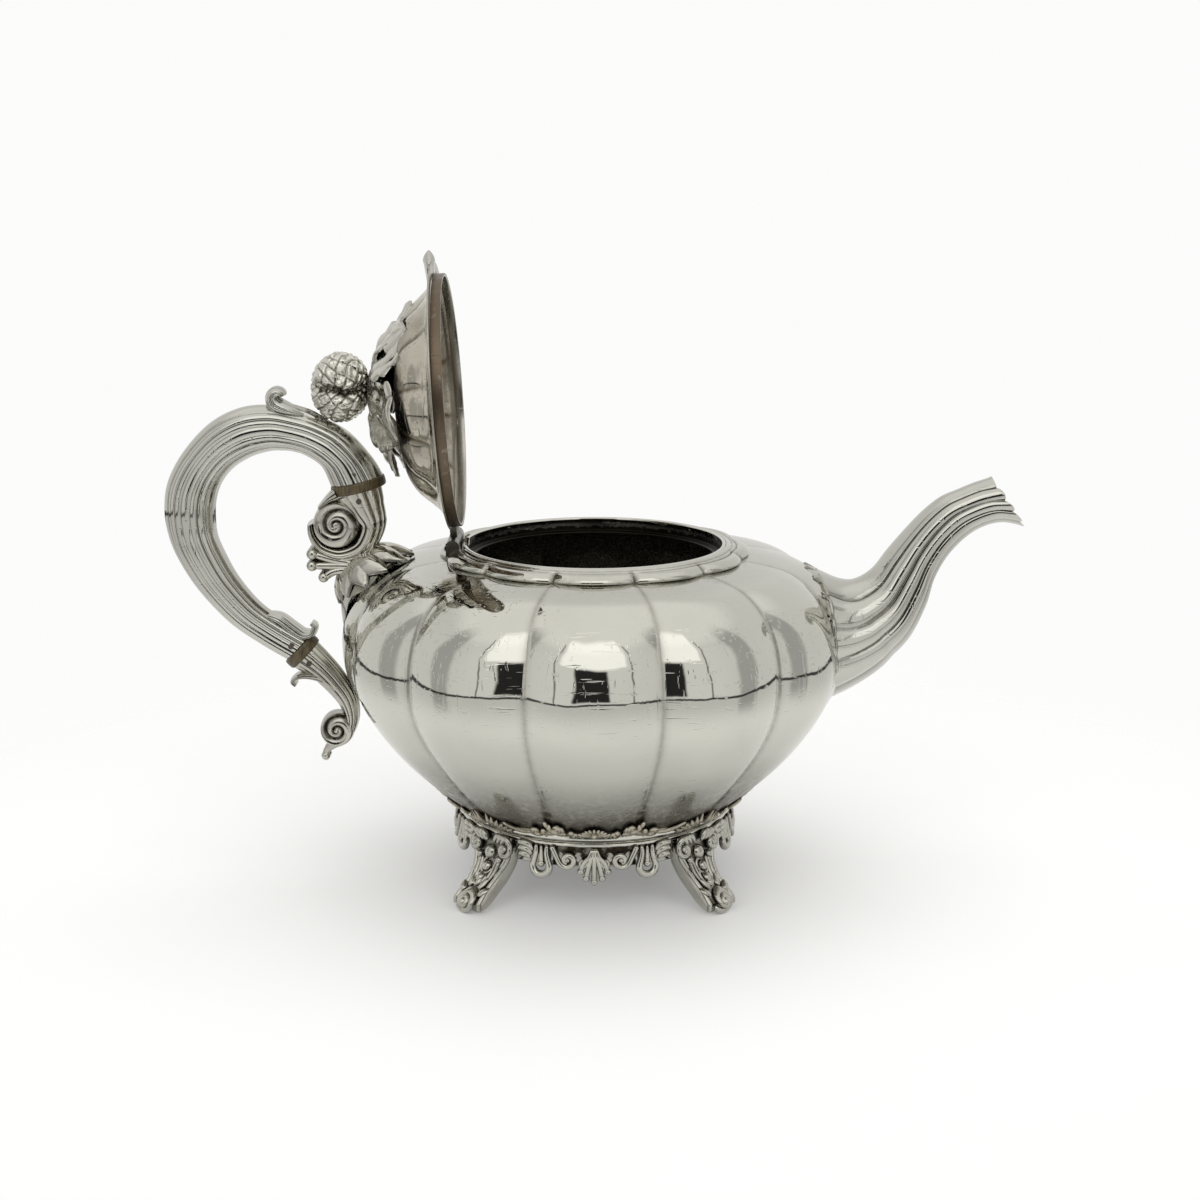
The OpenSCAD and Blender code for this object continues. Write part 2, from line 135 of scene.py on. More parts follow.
def grid(points: Array, hollow: Array | float = 0.0, loop_rows: bool = False, caps: bool = False) -> Shape:
    """Skins a grid whose columns close on themselves.

    Each cell of four neighbouring points is one face. A cap is a fan from the ring's mean point.

    Args:
        points: array (rows, columns, 3) in millimetres.
        hollow: one value or an array (rows, columns) from 0, proud, to 1, sunken; on some parts it carries
            painted shade.
        loop_rows: joins the last row to the first.
        caps: closes the first and the last row with a fan.

    Returns:
        The surface.
    """
    rows, cols = points.shape[:2]
    index = np.arange(rows * cols).reshape(rows, cols)
    up = np.roll(index, -1, axis=0) if loop_rows else index[1:]
    here = index if loop_rows else index[:-1]
    right, up_right = np.roll(here, -1, axis=1), np.roll(up, -1, axis=1)
    quads = np.stack([here, right, up_right, up], axis=-1).reshape(-1, 4)
    flat = points.reshape(-1, 3)
    deep = np.broadcast_to(np.asarray(hollow, float), (rows, cols)).reshape(-1).copy()
    tris = np.zeros((0, 3), int)
    if caps:
        first, last = points[0].mean(axis=0), points[-1].mean(axis=0)
        a, b = rows * cols, rows * cols + 1
        ring0, ring1 = index[0], index[-1]
        tris = np.concatenate([
            np.stack([np.full(cols, a), np.roll(ring0, -1), ring0], axis=-1),
            np.stack([np.full(cols, b), ring1, np.roll(ring1, -1)], axis=-1),
        ])
        flat = np.concatenate([flat, [first, last]])
        deep = np.concatenate([deep, [deep[0], deep[-1]]])
    return Shape(flat, quads, tris, deep)


def curve(points: list | tuple | Array, steps: int) -> Array:
    """A Catmull-Rom curve through the points: the slope at each is along the line between its neighbours.

    Args:
        points: rows of numbers, one for each point.
        steps: how many steps a span takes.

    Returns:
        Array (spans * steps + 1, values).
    """
    p = np.asarray(points, float)
    n = len(p) - 1
    t = np.append(np.tile(np.arange(steps) / steps, n), 1.0)[:, None]
    i = np.append(np.repeat(np.arange(n), steps), n - 1)
    a, b = p[np.maximum(i - 1, 0)], p[i]
    c, d = p[i + 1], p[np.minimum(i + 2, n)]
    return b + 0.5 * t * ((c - a) + t * ((2 * a - 5 * b + 4 * c - d) + t * (3 * (b - c) + d - a)))


def filleted(points: list | Array, radius: float, steps: int = 5, closed: bool = True) -> Array:
    """Rounds the corners of an outline: each corner becomes a quadratic curve between points radius away.

    Args:
        points: corners (n, 2).
        radius: reach of a round along each side, in millimetres.
        steps: points in each round.
        closed: whether the last corner joins the first.

    Returns:
        Array of points of the rounded outline.
    """
    p = np.asarray(points, float)
    before, after = np.roll(p, 1, axis=0), np.roll(p, -1, axis=0)
    reach_in = np.minimum(radius / np.linalg.norm(before - p, axis=1), 0.45)[:, None]
    reach_out = np.minimum(radius / np.linalg.norm(after - p, axis=1), 0.45)[:, None]
    a, c = p + (before - p) * reach_in, p + (after - p) * reach_out
    t = np.linspace(0, 1, steps)[None, :, None]
    rounds = a[:, None] * (1 - t) ** 2 + 2 * p[:, None] * t * (1 - t) + c[:, None] * t**2
    if not closed:
        rounds[0], rounds[-1] = p[0], p[-1]
    return rounds.reshape(-1, 2)


def ribs(angle: Array, grooves: tuple[float, ...], sharp: float = 0.55) -> Array:
    """Height of reeds round a section: between two grooves it is a sine arch, raised to the power sharp.

    Args:
        angle: angles in radians.
        grooves: rising groove angles in degrees within 0 to 360.
        sharp: under 1 for full reeds with narrow grooves.

    Returns:
        0 in a groove and 1 on the crest of a reed.
    """
    edge = np.radians(np.array(grooves + (grooves[0] + 360,)))
    a = (angle - edge[0]) % TAU + edge[0]
    i = np.clip(np.searchsorted(edge, a, side="right") - 1, 0, len(edge) - 2)
    return np.sin(math.pi * (a - edge[i]) / (edge[i + 1] - edge[i])).clip(0) ** sharp


def sweep(path: Array, radius: Array, sides: int = 10, place: Place | None = None) -> Shape:
    """A round strand along a path (u, v, n), laid on a surface; n is the height off it.

    Args:
        path: points (k, 2) or (k, 3) as u, v and, if given, n.
        radius: radius at each point.
        sides: points round the strand.
        place: takes u, v, n to x, y, z; left out, they are x, z and -y.

    Returns:
        The closed strand.
    """
    p = raised(path, 0.0)
    tangent = unit(np.gradient(p, axis=0))
    side = unit(np.cross(UP, tangent))
    rise = np.cross(tangent, side)
    a = circle(sides)[:, None]
    r = np.asarray(radius)[:, None, None]
    ring = p[:, None] + r * (side[:, None] * np.cos(a) + rise[:, None] * np.sin(a))
    deep = np.broadcast_to(0.5 - 0.6 * np.sin(a[:, 0]), ring.shape[:2]).clip(0, 1)
    return grid(ring, deep, caps=True).laid(place or upright)


def upright(u: Array, v: Array, n: Array) -> Array:
    """Lays (u, v, n) in the plane of the handle and spout: x, z and towards -Y."""
    return np.stack([u, -n, v], axis=-1)


def strand(path: Array, start: float, middle: float, end: float, **more) -> Shape:
    """A strand whose radius goes from start through middle to end as a parabola, with rounded ends."""
    t = np.linspace(0, 1, len(path))
    body = start * (1 - t) * (1 - 2 * t) + 4 * middle * t * (1 - t) + end * t * (2 * t - 1)
    tip = np.sqrt(np.minimum(1, np.minimum(t, 1 - t) * (len(path) - 1) / 1.5 + 0.02))
    return sweep(path, np.maximum(body, 0.05) * tip, **more)


def bead(u: float, v: float, r: float, place: Place | None = None, lift: float = 0.0,
         flat: float = 1.0) -> Shape:
    """A small ball: rings at sine heights along n."""
    lat = np.linspace(-0.5, 0.5, 9)[1:-1] * math.pi
    across, high = np.cos(lat)[:, None], np.sin(lat)[:, None]
    ring = polar(r * across, circle(12), flat * r * high) + np.array([u, v, lift])
    return grid(ring, (0.45 - 0.6 * high).clip(0, 1), caps=True).laid(place or upright)


def spiral(cu: float, cv: float, r0: float, r1: float, start: float, turns: float, count: int = 28) -> Array:
    """Points of a scroll about (cu, cv): the radius falls from r0 to r1 by equal ratios while it turns."""
    t = np.linspace(0, 1, count)
    r, a = r0 * (r1 / r0) ** t, math.radians(start) + turns * TAU * t
    return np.stack([cu + r * np.cos(a), cv + r * np.sin(a)], axis=1)


def blade(path: Array, width: Array, thick: float, arch: float, place: Place, lift: float | Array = 0.2,
          veins: int = 3, vein_depth: float = 0.25, half: int = 7) -> Shape:
    """A leaf along a path: across it the top is an arch with veins, and the back is thick below it.

    Height at s, from -1 to 1 across, is lift + arch * (1 - s^2) + vein_depth * |cos(veins * pi * s / 2)|.

    Args:
        path: mid-rib points (k, 2) or (k, 3) as u, v and n.
        width: half width at each point.
        thick: sheet thickness.
        arch: rise of the middle over the edges.
        place: takes u, v, n to x, y, z.
        lift: height of the leaf's edges.
        veins: how many veins lie across the leaf.
        vein_depth: their relief.
        half: steps across half the leaf.

    Returns:
        The closed leaf.
    """
    p = raised(path, 0.0)
    tangent = unit(np.gradient(p[:, :2], axis=0))
    across = np.stack([-tangent[:, 1], tangent[:, 0]], axis=1)
    s = np.linspace(-1, 1, 2 * half + 1)
    ridge = np.abs(np.cos(veins * math.pi * s / 2)) ** 0.6
    w = np.asarray(width)[:, None]
    scale = (w / max(w.max(), 1e-9)).clip(0.15, 1)
    top = p[:, 2:3] + np.asarray(lift).reshape(-1, 1) + scale * (arch * (1 - s**2) + vein_depth * ridge)
    uv = p[:, None, :2] + across[:, None] * (w * s)[..., None]
    upper = np.concatenate([uv, top[..., None]], axis=-1)
    lower = np.concatenate([uv, top[..., None] - thick], axis=-1)[:, ::-1]
    ring = np.concatenate([upper[:, ::-1], lower[:, ::-1]], axis=1)
    deep = np.concatenate([np.tile(0.9 - 0.8 * ridge, (len(p), 1)), np.full(lower.shape[:2], 0.8)], axis=1)
    return grid(ring, deep, caps=True).laid(place)


def lathe(outline: Array, columns: int, hollow: Array | float = 0.0) -> Shape:
    """Turns a closed outline of (radius, height) about +Z."""
    points = polar(outline[:, 0:1], circle(columns), outline[:, 1:2])
    deep = np.broadcast_to(np.asarray(hollow, float).reshape(-1, 1), points.shape[:2])
    return grid(points, deep, loop_rows=True)


def put_in_scene(name: str, shape: Shape, finish: "Finish", body: str,
                 nodes: tuple[str, ...]) -> bpy.types.Object:
    """Makes the object for a surface, in metres at the origin, and ties it to the frame.

    Args:
        name: the piece's name.
        shape: the surface in millimetres.
        finish: its material and its crease angle.
        body: the CAD body it rides on.
        nodes: CAD nodes it stands for.

    Returns:
        The new object.
    """
    mesh = bpy.data.meshes.new(name)
    faces = shape.quads.tolist() + shape.tris.tolist()
    mesh.from_pydata((shape.points * MM).tolist(), [], faces)
    mesh.attributes.new("hollow", "FLOAT", "POINT").data.foreach_set("value", shape.hollow.astype(np.float32))
    work = bmesh.new()
    work.from_mesh(mesh)
    bmesh.ops.recalc_face_normals(work, faces=work.faces)
    work.to_mesh(mesh)
    work.free()
    mesh.polygons.foreach_set("use_smooth", np.ones(len(mesh.polygons), bool))
    mesh.set_sharp_from_angle(angle=math.radians(finish.crease))
    mesh.materials.append(finish.material())
    made = bpy.data.objects.new(name, mesh)
    bpy.context.scene.collection.objects.link(made)
    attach(made, body)
    if nodes:
        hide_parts(*nodes)
    LOG.info("%s: %d points on %s", name, len(shape.points), body)
    return made


# ---------------------------------------------------------------- finishes


class Wear(Enum):
    """Names of the shared effects."""

    TARNISH_AND_SHADE = "tarnish_and_shade"
    RUBBED = "rubbed_scratches"


Tree = bpy.types.NodeTree
Socket = bpy.types.NodeSocket


def add(tree: Tree, kind: str, **values) -> bpy.types.Node:
    """Adds a node; values set its properties, or its inputs where the name is an input's."""
    made = tree.nodes.new(kind)
    for key, value in values.items():
        name = key.replace("_", " ")
        if name in made.inputs:
            made.inputs[name].default_value = value
        else:
            setattr(made, key, value)
    return made


def ramp(tree: Tree, value: Socket, low: float, high: float, out: tuple[float, float] = (0, 1)) -> Socket:
    """Maps value from low..high onto out, smoothly and clamped."""
    made = add(tree, "ShaderNodeMapRange", interpolation_type="SMOOTHSTEP")
    made.inputs["From Min"].default_value, made.inputs["From Max"].default_value = low, high
    made.inputs["To Min"].default_value, made.inputs["To Max"].default_value = out
    tree.links.new(value, made.inputs["Value"])
    return made.outputs["Result"]


def combine(tree: Tree, how: str, a: Socket | float, b: Socket | float) -> Socket:
    """Joins two values, sockets or numbers, with a Math node."""
    made = add(tree, "ShaderNodeMath", operation=how)
    for k, x in enumerate((a, b)):
        if isinstance(x, Socket):
            tree.links.new(x, made.inputs[k])
        else:
            made.inputs[k].default_value = x
    return made.outputs[0]


def new_group(wear: Wear, inputs: dict[str, float], outputs: tuple[str, ...]) -> tuple[Tree, dict, dict]:
    """Starts a shader group with named number inputs and outputs.

    Args:
        wear: which shared effect it is.
        inputs: names and default values.
        outputs: names of its values.

    Returns:
        The tree, its inputs by name and its output node's sockets by name.
    """
    tree = bpy.data.node_groups.new(wear.value, "ShaderNodeTree")
    for name, value in inputs.items():
        made = tree.interface.new_socket(name=name, in_out="INPUT", socket_type="NodeSocketFloat")
        made.default_value = value
    for name in outputs:
        tree.interface.new_socket(name=name, in_out="OUTPUT", socket_type="NodeSocketFloat")
    start, end = tree.nodes.new("NodeGroupInput"), tree.nodes.new("NodeGroupOutput")
    return tree, {n: start.outputs[n] for n in inputs}, {n: end.inputs[n] for n in outputs}


def tarnish_and_shade_group() -> Tree:
    """Warm oxide, strong where the surface is sunken, with the painted shade that some parts carry in their
    hollow values; broken up by clouds of two sizes.

    Returns:
        The group, with inputs Amount and Depth and output Mask.
    """
    if Wear.TARNISH_AND_SHADE.value in bpy.data.node_groups:
        return bpy.data.node_groups[Wear.TARNISH_AND_SHADE.value]
    tree, given, result = new_group(Wear.TARNISH_AND_SHADE, {"Amount": 0.3, "Depth": 1.0}, ("Mask",))
    place = add(tree, "ShaderNodeTexCoord").outputs["Object"]
    clouds = add(tree, "ShaderNodeTexNoise", Scale=38.0, Detail=4.0, Roughness=0.6)
    grains = add(tree, "ShaderNodeTexNoise", Scale=420.0, Detail=3.0, Roughness=0.7)
    for noise in (clouds, grains):
        tree.links.new(place, noise.inputs["Vector"])
    sunk_and_shade = add(tree, "ShaderNodeAttribute", attribute_name="hollow").outputs["Fac"]
    deep = combine(tree, "MULTIPLY", sunk_and_shade, given["Depth"])
    broken = combine(tree, "MULTIPLY", deep, ramp(tree, grains.outputs["Fac"], 0.25, 0.6, (0.55, 1.0)))
    cloudy = combine(tree, "MULTIPLY", ramp(tree, clouds.outputs["Fac"], 0.42, 0.72), given["Amount"])
    total = combine(tree, "ADD", broken, cloudy)
    tree.links.new(combine(tree, "MINIMUM", total, 1.0), result["Mask"])
    return tree


def rubbed_group() -> Tree:
    """Fine polishing scratches in two crossing directions and faint hand-beaten unevenness.

    Returns:
        The group, with inputs Fine and Beaten and outputs Height and Haze.
    """
    if Wear.RUBBED.value in bpy.data.node_groups:
        return bpy.data.node_groups[Wear.RUBBED.value]
    tree, given, result = new_group(Wear.RUBBED, {"Fine": 0.4, "Beaten": 0.5}, ("Height", "Haze"))
    place = add(tree, "ShaderNodeTexCoord").outputs["Object"]
    lines = []
    for turn, stretch in ((0.5, (900.0, 900.0, 40.0)), (-0.9, (50.0, 700.0, 1100.0))):
        maps = add(tree, "ShaderNodeMapping")
        maps.inputs["Rotation"].default_value = (0.3, turn, turn)
        maps.inputs["Scale"].default_value = stretch
        tree.links.new(place, maps.inputs["Vector"])
        noise = add(tree, "ShaderNodeTexNoise", Scale=1.0, Detail=2.0)
        tree.links.new(maps.outputs[0], noise.inputs["Vector"])
        lines.append(ramp(tree, noise.outputs["Fac"], 0.62, 0.74))
    scratch = combine(tree, "MAXIMUM", *lines)
    beaten = add(tree, "ShaderNodeTexNoise", Scale=48.0, Detail=1.0)
    tree.links.new(place, beaten.inputs["Vector"])
    fine = combine(tree, "MULTIPLY", scratch, given["Fine"])
    broad = combine(tree, "MULTIPLY", beaten.outputs["Fac"], given["Beaten"])
    tree.links.new(combine(tree, "SUBTRACT", broad, fine), result["Height"])
    tree.links.new(fine, result["Haze"])
    return tree


def new_material(name: str) -> tuple[bpy.types.Material, Tree, bpy.types.Node]:
    """Starts a material; gives it with its tree and its Principled shader."""
    made = bpy.data.materials.new(name)
    made.use_nodes = True
    return made, made.node_tree, made.node_tree.nodes["Principled BSDF"]


def blend(tree: Tree, share: Socket, first: tuple, second: tuple) -> Socket:
    """A colour that goes from first to second as share goes from 0 to 1."""
    mix = add(tree, "ShaderNodeMix", data_type="RGBA")
    for socket in mix.inputs:
        if socket.type == "RGBA" and socket.name in "AB":
            socket.default_value = (*(first if socket.name == "A" else second), 1)
    tree.links.new(share, mix.inputs[0])
    return next(s for s in mix.outputs if s.type == "RGBA")


@dataclass(frozen=True)
class Finish:
    """A silver finish: clean metal, stained where it is sunken and darkened where a part's hollow values
    carry painted shade, with rubbed scratches.
    """

    name: str
    slot: str
    clean: tuple[float, float, float] = (0.63, 0.625, 0.57)
    stain_and_shade: tuple[float, float, float] = (0.30, 0.24, 0.16)
    smooth: float = 0.07
    dull: float = 0.34
    amount: float = 0.1
    depth: float = 0.8
    fine: float = 0.35
    beaten: float = 0.5
    bump: float = 0.09
    crease: float = 55.0

    def material(self) -> bpy.types.Material:
        """The finish's material, made once.

        Returns:
            A metal Principled shader fed by the two shared groups.
        """
        if self.name in bpy.data.materials:
            return bpy.data.materials[self.name]
        made, tree, shader = new_material(self.name)
        shader.inputs["Metallic"].default_value = 1.0
        oxide_and_shade = add(tree, "ShaderNodeGroup", node_tree=tarnish_and_shade_group(), Amount=self.amount, Depth=self.depth)
        rub = add(tree, "ShaderNodeGroup", node_tree=rubbed_group(), Fine=self.fine, Beaten=self.beaten)
        colour = blend(tree, oxide_and_shade.outputs["Mask"], self.clean, self.stain_and_shade)
        tree.links.new(colour, shader.inputs["Base Color"])
        worn = ramp(tree, oxide_and_shade.outputs["Mask"], 0.0, 1.0, (self.smooth, self.dull))
        hazy = combine(tree, "MULTIPLY", rub.outputs["Haze"], 0.12)
        tree.links.new(combine(tree, "ADD", worn, hazy), shader.inputs["Roughness"])
        bump = add(tree, "ShaderNodeBump", Strength=1.0, Distance=self.bump * MM)
        tree.links.new(rub.outputs["Height"], bump.inputs["Height"])
        tree.links.new(bump.outputs[0], shader.inputs["Normal"])
        return made


@dataclass(frozen=True)
class Bone:
    """Ochre bone with darker grain lines that run through the thickness of a disc."""

    name: str
    slot: str
    pale: tuple[float, float, float] = (0.105, 0.078, 0.036)
    dark: tuple[float, float, float] = (0.028, 0.019, 0.009)
    crease: float = 60.0

    def material(self) -> bpy.types.Material:
        """The finish's material, made once: colour follows stretched noise in object space."""
        if self.name in bpy.data.materials:
            return bpy.data.materials[self.name]
        made, tree, shader = new_material(self.name)
        shader.inputs["Roughness"].default_value = 0.42
        maps = add(tree, "ShaderNodeMapping")
        maps.inputs["Scale"].default_value = (1500.0, 1500.0, 160.0)
        tree.links.new(add(tree, "ShaderNodeTexCoord").outputs["Object"], maps.inputs["Vector"])
        grain = add(tree, "ShaderNodeTexNoise", Scale=1.0, Detail=3.0, Roughness=0.6)
        tree.links.new(maps.outputs[0], grain.inputs["Vector"])
        colour = blend(tree, ramp(tree, grain.outputs["Fac"], 0.38, 0.72), self.pale, self.dark)
        tree.links.new(colour, shader.inputs["Base Color"])
        bump = add(tree, "ShaderNodeBump", Strength=0.6, Distance=0.1 * MM)
        tree.links.new(grain.outputs["Fac"], bump.inputs["Height"])
        tree.links.new(bump.outputs[0], shader.inputs["Normal"])
        return made


# polished_sheet's stain also paints the shade on the body's lower lobes and inner skin
POLISHED = Finish(
    "polished_sheet", "polished_silver", stain_and_shade=(0.060, 0.048, 0.030), amount=0.05, depth=1.0, smooth=0.045,
    dull=0.42,
)
# its stain also paints the shade inside the spout
REEDED = Finish(
    "reeded_silver", "polished_silver", clean=(0.56, 0.555, 0.51), stain_and_shade=(0.03, 0.025, 0.017), amount=0.1,
    depth=1.0, smooth=0.07,
)
# its stain also paints the shade on the lid's inner skin
DOME = Finish(
    "warm_dome", "polished_silver", clean=(0.55, 0.52, 0.44), stain_and_shade=(0.10, 0.07, 0.038), amount=0.4,
    depth=1.0, smooth=0.07, dull=0.4, beaten=1.0, bump=0.35,
)
# its near-black stain is painted shade on the mouth ring's inward face
MOUTH_WITH_SHADE = Finish(
    "mouth_edge", "polished_silver", stain_and_shade=(0.013, 0.012, 0.008), amount=0.0, depth=1.6, smooth=0.06,
)
CAST = Finish(
    "cast_ornament", "cast_silver", clean=(0.54, 0.53, 0.475), stain_and_shade=(0.028, 0.022, 0.014), amount=0.2,
    depth=1.0, smooth=0.11, dull=0.45,
)
BRIGHT = Finish(
    "bright_casting", "cast_silver", clean=(0.66, 0.65, 0.59), stain_and_shade=(0.05, 0.04, 0.026), amount=0.08,
    depth=0.85, smooth=0.09, dull=0.4,
)
BROWNED = Finish(
    "browned_border", "cast_silver", clean=(0.60, 0.555, 0.455), stain_and_shade=(0.022, 0.016, 0.009), amount=0.15,
    depth=1.0, smooth=0.16, dull=0.5,
)
EDGE = Finish(
    "lid_edge", "lid_band_silver", clean=(0.50, 0.49, 0.45), stain_and_shade=(0.155, 0.12, 0.085), amount=0.1,
    depth=1.3, smooth=0.2, dull=0.36,
)
# painted shade: dark metal for the strainer cup, standing for the shade inside the pot
INSIDE_SHADE = Finish(
    "inner_silver", "polished_silver", clean=(0.16, 0.145, 0.11), stain_and_shade=(0.05, 0.04, 0.025), amount=0.6,
    smooth=0.25, dull=0.5,
)
PEG = Finish(
    "dark_peg", "cast_silver", clean=(0.16, 0.145, 0.12), stain_and_shade=(0.03, 0.025, 0.02), amount=0.5, smooth=0.25,
    dull=0.5,
)
BONE = Bone("ochre_bone", "bone")


# ---------------------------------------------------------------- pot


@dataclass(frozen=True)
class Melon:
    """The body's form: rows of (height, ridge radius share, lobe depth), turned into twelve lobes."""

    radius: float = 82.0
    wall: float = 0.8
    lobes: int = 12
    rows: tuple = (
        (24, 0.49, 0), (30, 0.6, 0.02), (38, 0.715, 0.035), (48, 0.835, 0.045), (58, 0.925, 0.045),
        (68, 0.985, 0.045), (78, 1, 0.045), (87, 0.985, 0.045), (94, 0.95, 0.045), (100, 0.885, 0.04),
        (104, 0.805, 0.035), (106, 0.715, 0.03), (107.2, 0.61, 0.02), (107.8, 0.52, 0),
    )

    def profile(self, steps: int = 14) -> Array:
        """Smooth (radius, height, lobe depth) from the base up."""
        dense = curve(self.rows, steps)
        return np.stack([dense[:, 1] * self.radius, dense[:, 0], dense[:, 2]], axis=1)

    def seam(self, angle: Array) -> Array:
        """0 on a lobe's ridge and 1 in a seam, as a parabola of the angle from the ridge."""
        step = TAU / self.lobes
        return ((((angle + step / 2) % step) - step / 2) * 2 / step) ** 2

    def radius_at(self, z: Array, angle: Array) -> Array:
        """Skin's distance from the axis at a height and an angle."""
        p = self.profile()
        return np.interp(z, p[:, 1], p[:, 0]) * (1 - np.interp(z, p[:, 1], p[:, 2]) * self.seam(angle))

    def front_of(self, y: Array, z: Array) -> Array:
        """Skin's x on the spout side at a width y and a height z."""
        p = self.profile()
        angle = np.arcsin(np.clip(y / np.interp(z, p[:, 1], p[:, 0]), -1, 1))
        return np.sqrt(np.maximum(self.radius_at(z, angle) ** 2 - y**2, 0))

    def lay(self, around: float, from_z: float,
            relief: Callable[[Array, Array], Array] | None = None) -> Place:
        """Makes the map that lays ornament on the body.

        u is arc length round the body from the angle around, v is arc length up the profile from from_z, and
        n is height along the profile's normal, over the relief if there is one.

        Args:
            around: middle of the ornament, in degrees about +Z.
            from_z: height where v is 0.
            relief: swelling under the ornament as a function of u and v.

        Returns:
            The map from u, v, n to x, y, z.
        """
        p = self.profile()
        length = np.append(0, np.cumsum(np.hypot(np.diff(p[:, 0]), np.diff(p[:, 1]))))
        start = np.interp(from_z, p[:, 1], length)
        slope = unit(np.gradient(p[:, :2], axis=0))
        ridge = np.interp(start, length, p[:, 0])

        def put(u: Array, v: Array, n: Array) -> Array:
            """Applies the map."""
            s = start + v
            r, z, k = (np.interp(s, length, p[:, c]) for c in range(3))
            nr, nz = np.interp(s, length, slope[:, 1]), -np.interp(s, length, slope[:, 0])
            high = n + (relief(u, v) if relief else 0.0)
            a = math.radians(around) + u / np.maximum(0.5 * (r + ridge), 20)
            r = r * (1 - k * self.seam(a)) + nr * high
            return polar(r, a, z + nz * high)

        return put


MELON = Melon()


@dataclass(frozen=True)
class Body:
    """The raised sheet body, its scalloped mouth collar and the ring inside the mouth."""

    columns: int = 360
    mouth: float = 41.1
    rim: float = 111.0
    collar: float = 49.5
    hinge_gap: float = 5.6
    gap_x: float = -39.0
    gap_depth: float = 2.3
    seat_half: float = 12.2
    seat_x: tuple[float, float] = (-47.9, -41.0)
    seat_top: float = 109.0
    uneven: float = 0.045

    def shell(self) -> Shape:
        """Outer skin, mouth edge and inner skin as one closed sheet.

        The radius is the profile's radius less lobe depth times the seam parabola. The inner skin is moved in
        along the profile's normal. Hand-raised unevenness is a sum of three slow sine waves.

        Returns:
            The sheet, sunken along its seams and darker just below its mouth, with painted shade on the lower
            lobes towards its foot and over the inner skin.
        """
        p = MELON.profile()
        a = circle(self.columns)
        skins, deeps = [], []
        for rows, wobble in ((p, self.uneven), (inset(p, MELON.wall)[::-1], 0.0)):
            z = rows[:, 1:2]
            seam = MELON.seam(a)[None, :]
            wave = np.sin(5 * a + z / 9) + np.sin(11 * a - z / 6) + 0.7 * np.sin(17 * a + z / 4)
            r = rows[:, 0:1] * (1 - rows[:, 2:3] * seam) + wobble * wave
            skins.append(polar(r, a, z))
            cleft = climb(np.sqrt(seam), 0.9, 0.1) ** 1.5 * climb(rows[:, 2:3], 0, 0.03)
            # painted shade: below z 54 the lobes darken towards the foot, as if mirroring the table shaded by
            # the pot; above z 105 they darken a little just below the mouth
            low = climb(-z, -54, 24) ** 1.2 * 0.95 + climb(z, 105, 3) * 0.25
            pit = bell(z, 33.0, 4.5) * climb(np.sqrt(seam), 0.82, 0.14) ** 2
            # the inner skin takes a flat 0.6, which is painted shade inside the pot
            deeps.append(np.clip(0.4 * cleft + low + 1.1 * pit, 0, 1) if wobble else 0 * cleft + 0.6)
        return grid(np.concatenate(skins), np.concatenate(deeps), caps=True)

    def scalloped_collar(self) -> Shape:
        """Stepped moulding round the mouth: a rounded outline turned with a scalloped, pillowed outer edge.

        The outer share of the outline is drawn in by a parabola of the angle, so it meets in a cusp at each
        seam. A flat seat is left in it for the hinge.

        Returns:
            The collar, sunken in its steps and cusps.
        """
        m, c = self.mouth, self.collar
        corners = [
            (m + 1.2, 107.9), (c - 1.0, 107.0), (c + 0.3, 107.5), (c + 0.6, 108.2), (c + 0.1, 109.0),
            (c - 1.2, 109.9), (c - 2.9, 110.2), (c - 3.7, 109.7), (c - 4.1, 110.1), (c - 4.7, 110.5),
            (c - 5.2, 110.2), (m + 2.8, 110.6), (m + 2.0, self.rim), (m + 1.25, self.rim),
        ]
        line = filleted(corners, 0.45, 5)
        a = circle(self.columns)
        seam = MELON.seam(a)
        share = climb(line[:, 0:1], m + 2.6, c - m - 3.6)
        cusp = climb(np.sqrt(seam), 0.86, 0.14) ** 2
        r = line[:, 0:1] - share * (2.1 * seam + 0.3 * cusp)
        z = line[:, 1:2] - share * (0.25 * seam + 0.5 * cusp)
        fold = bell(line[:, 0:1], c - 3.7, 0.35) + 0.7 * bell(line[:, 0:1], c - 5.2, 0.3)
        under = climb(-line[:, 1:2], -107.9, 0.8)
        deep = np.clip(0.12 + 0.7 * fold + 0.75 * cusp * share + 0.8 * under, 0, 1)
        far, near = self.seat_x
        seat = (np.abs(r * np.sin(a)) < self.seat_half) & (r * np.cos(a) < near) & (r * np.cos(a) > far)
        z = np.where(seat, np.minimum(z, self.seat_top), z)
        return grid(polar(r, a, z), deep, loop_rows=True)

    def mouth_ring(self) -> Shape:
        """Ring inside the mouth: bright on its edge, with painted shade where it faces in, and the lid's
        ledge below.

        Returns:
            The ring, cut down behind the hinge so that the lid's knuckle can turn.
        """
        m = self.mouth
        corners = [
            (m + 1.2, 106.2), (m + 1.2, self.rim), (m + 0.1, self.rim), (m, self.rim - 0.4), (m, 106.8),
            (m - 2.4, 106.6), (m - 2.4, 105.8), (m + 0.4, 105.7),
        ]
        line = filleted(corners, 0.3, 4)
        # painted shade on the ring's inner face below the rim and on the ledge
        inner_shade = climb(-line[:, 1], 1.5 - self.rim, 0.8) * (line[:, 0] < m + 0.8)
        ring = lathe(line, 240, inner_shade)
        x, y, z = ring.points.T
        gap = (np.abs(y) < self.hinge_gap) & (x < self.gap_x)
        ring.points[:, 2] = np.where(gap, np.minimum(z, self.rim - self.gap_depth), z)
        return ring

    def build(self) -> None:
        """Builds and dresses the shell, collar and mouth ring."""
        put_in_scene("body_sheet", self.shell(), POLISHED, "pot", ("body_shell",))
        put_in_scene("mouth_moulding", self.scalloped_collar(), POLISHED, "pot", ("mouth_collar",))
        put_in_scene("mouth_ring", self.mouth_ring(), MOUTH_WITH_SHADE, "pot", ("mouth_bezel",))


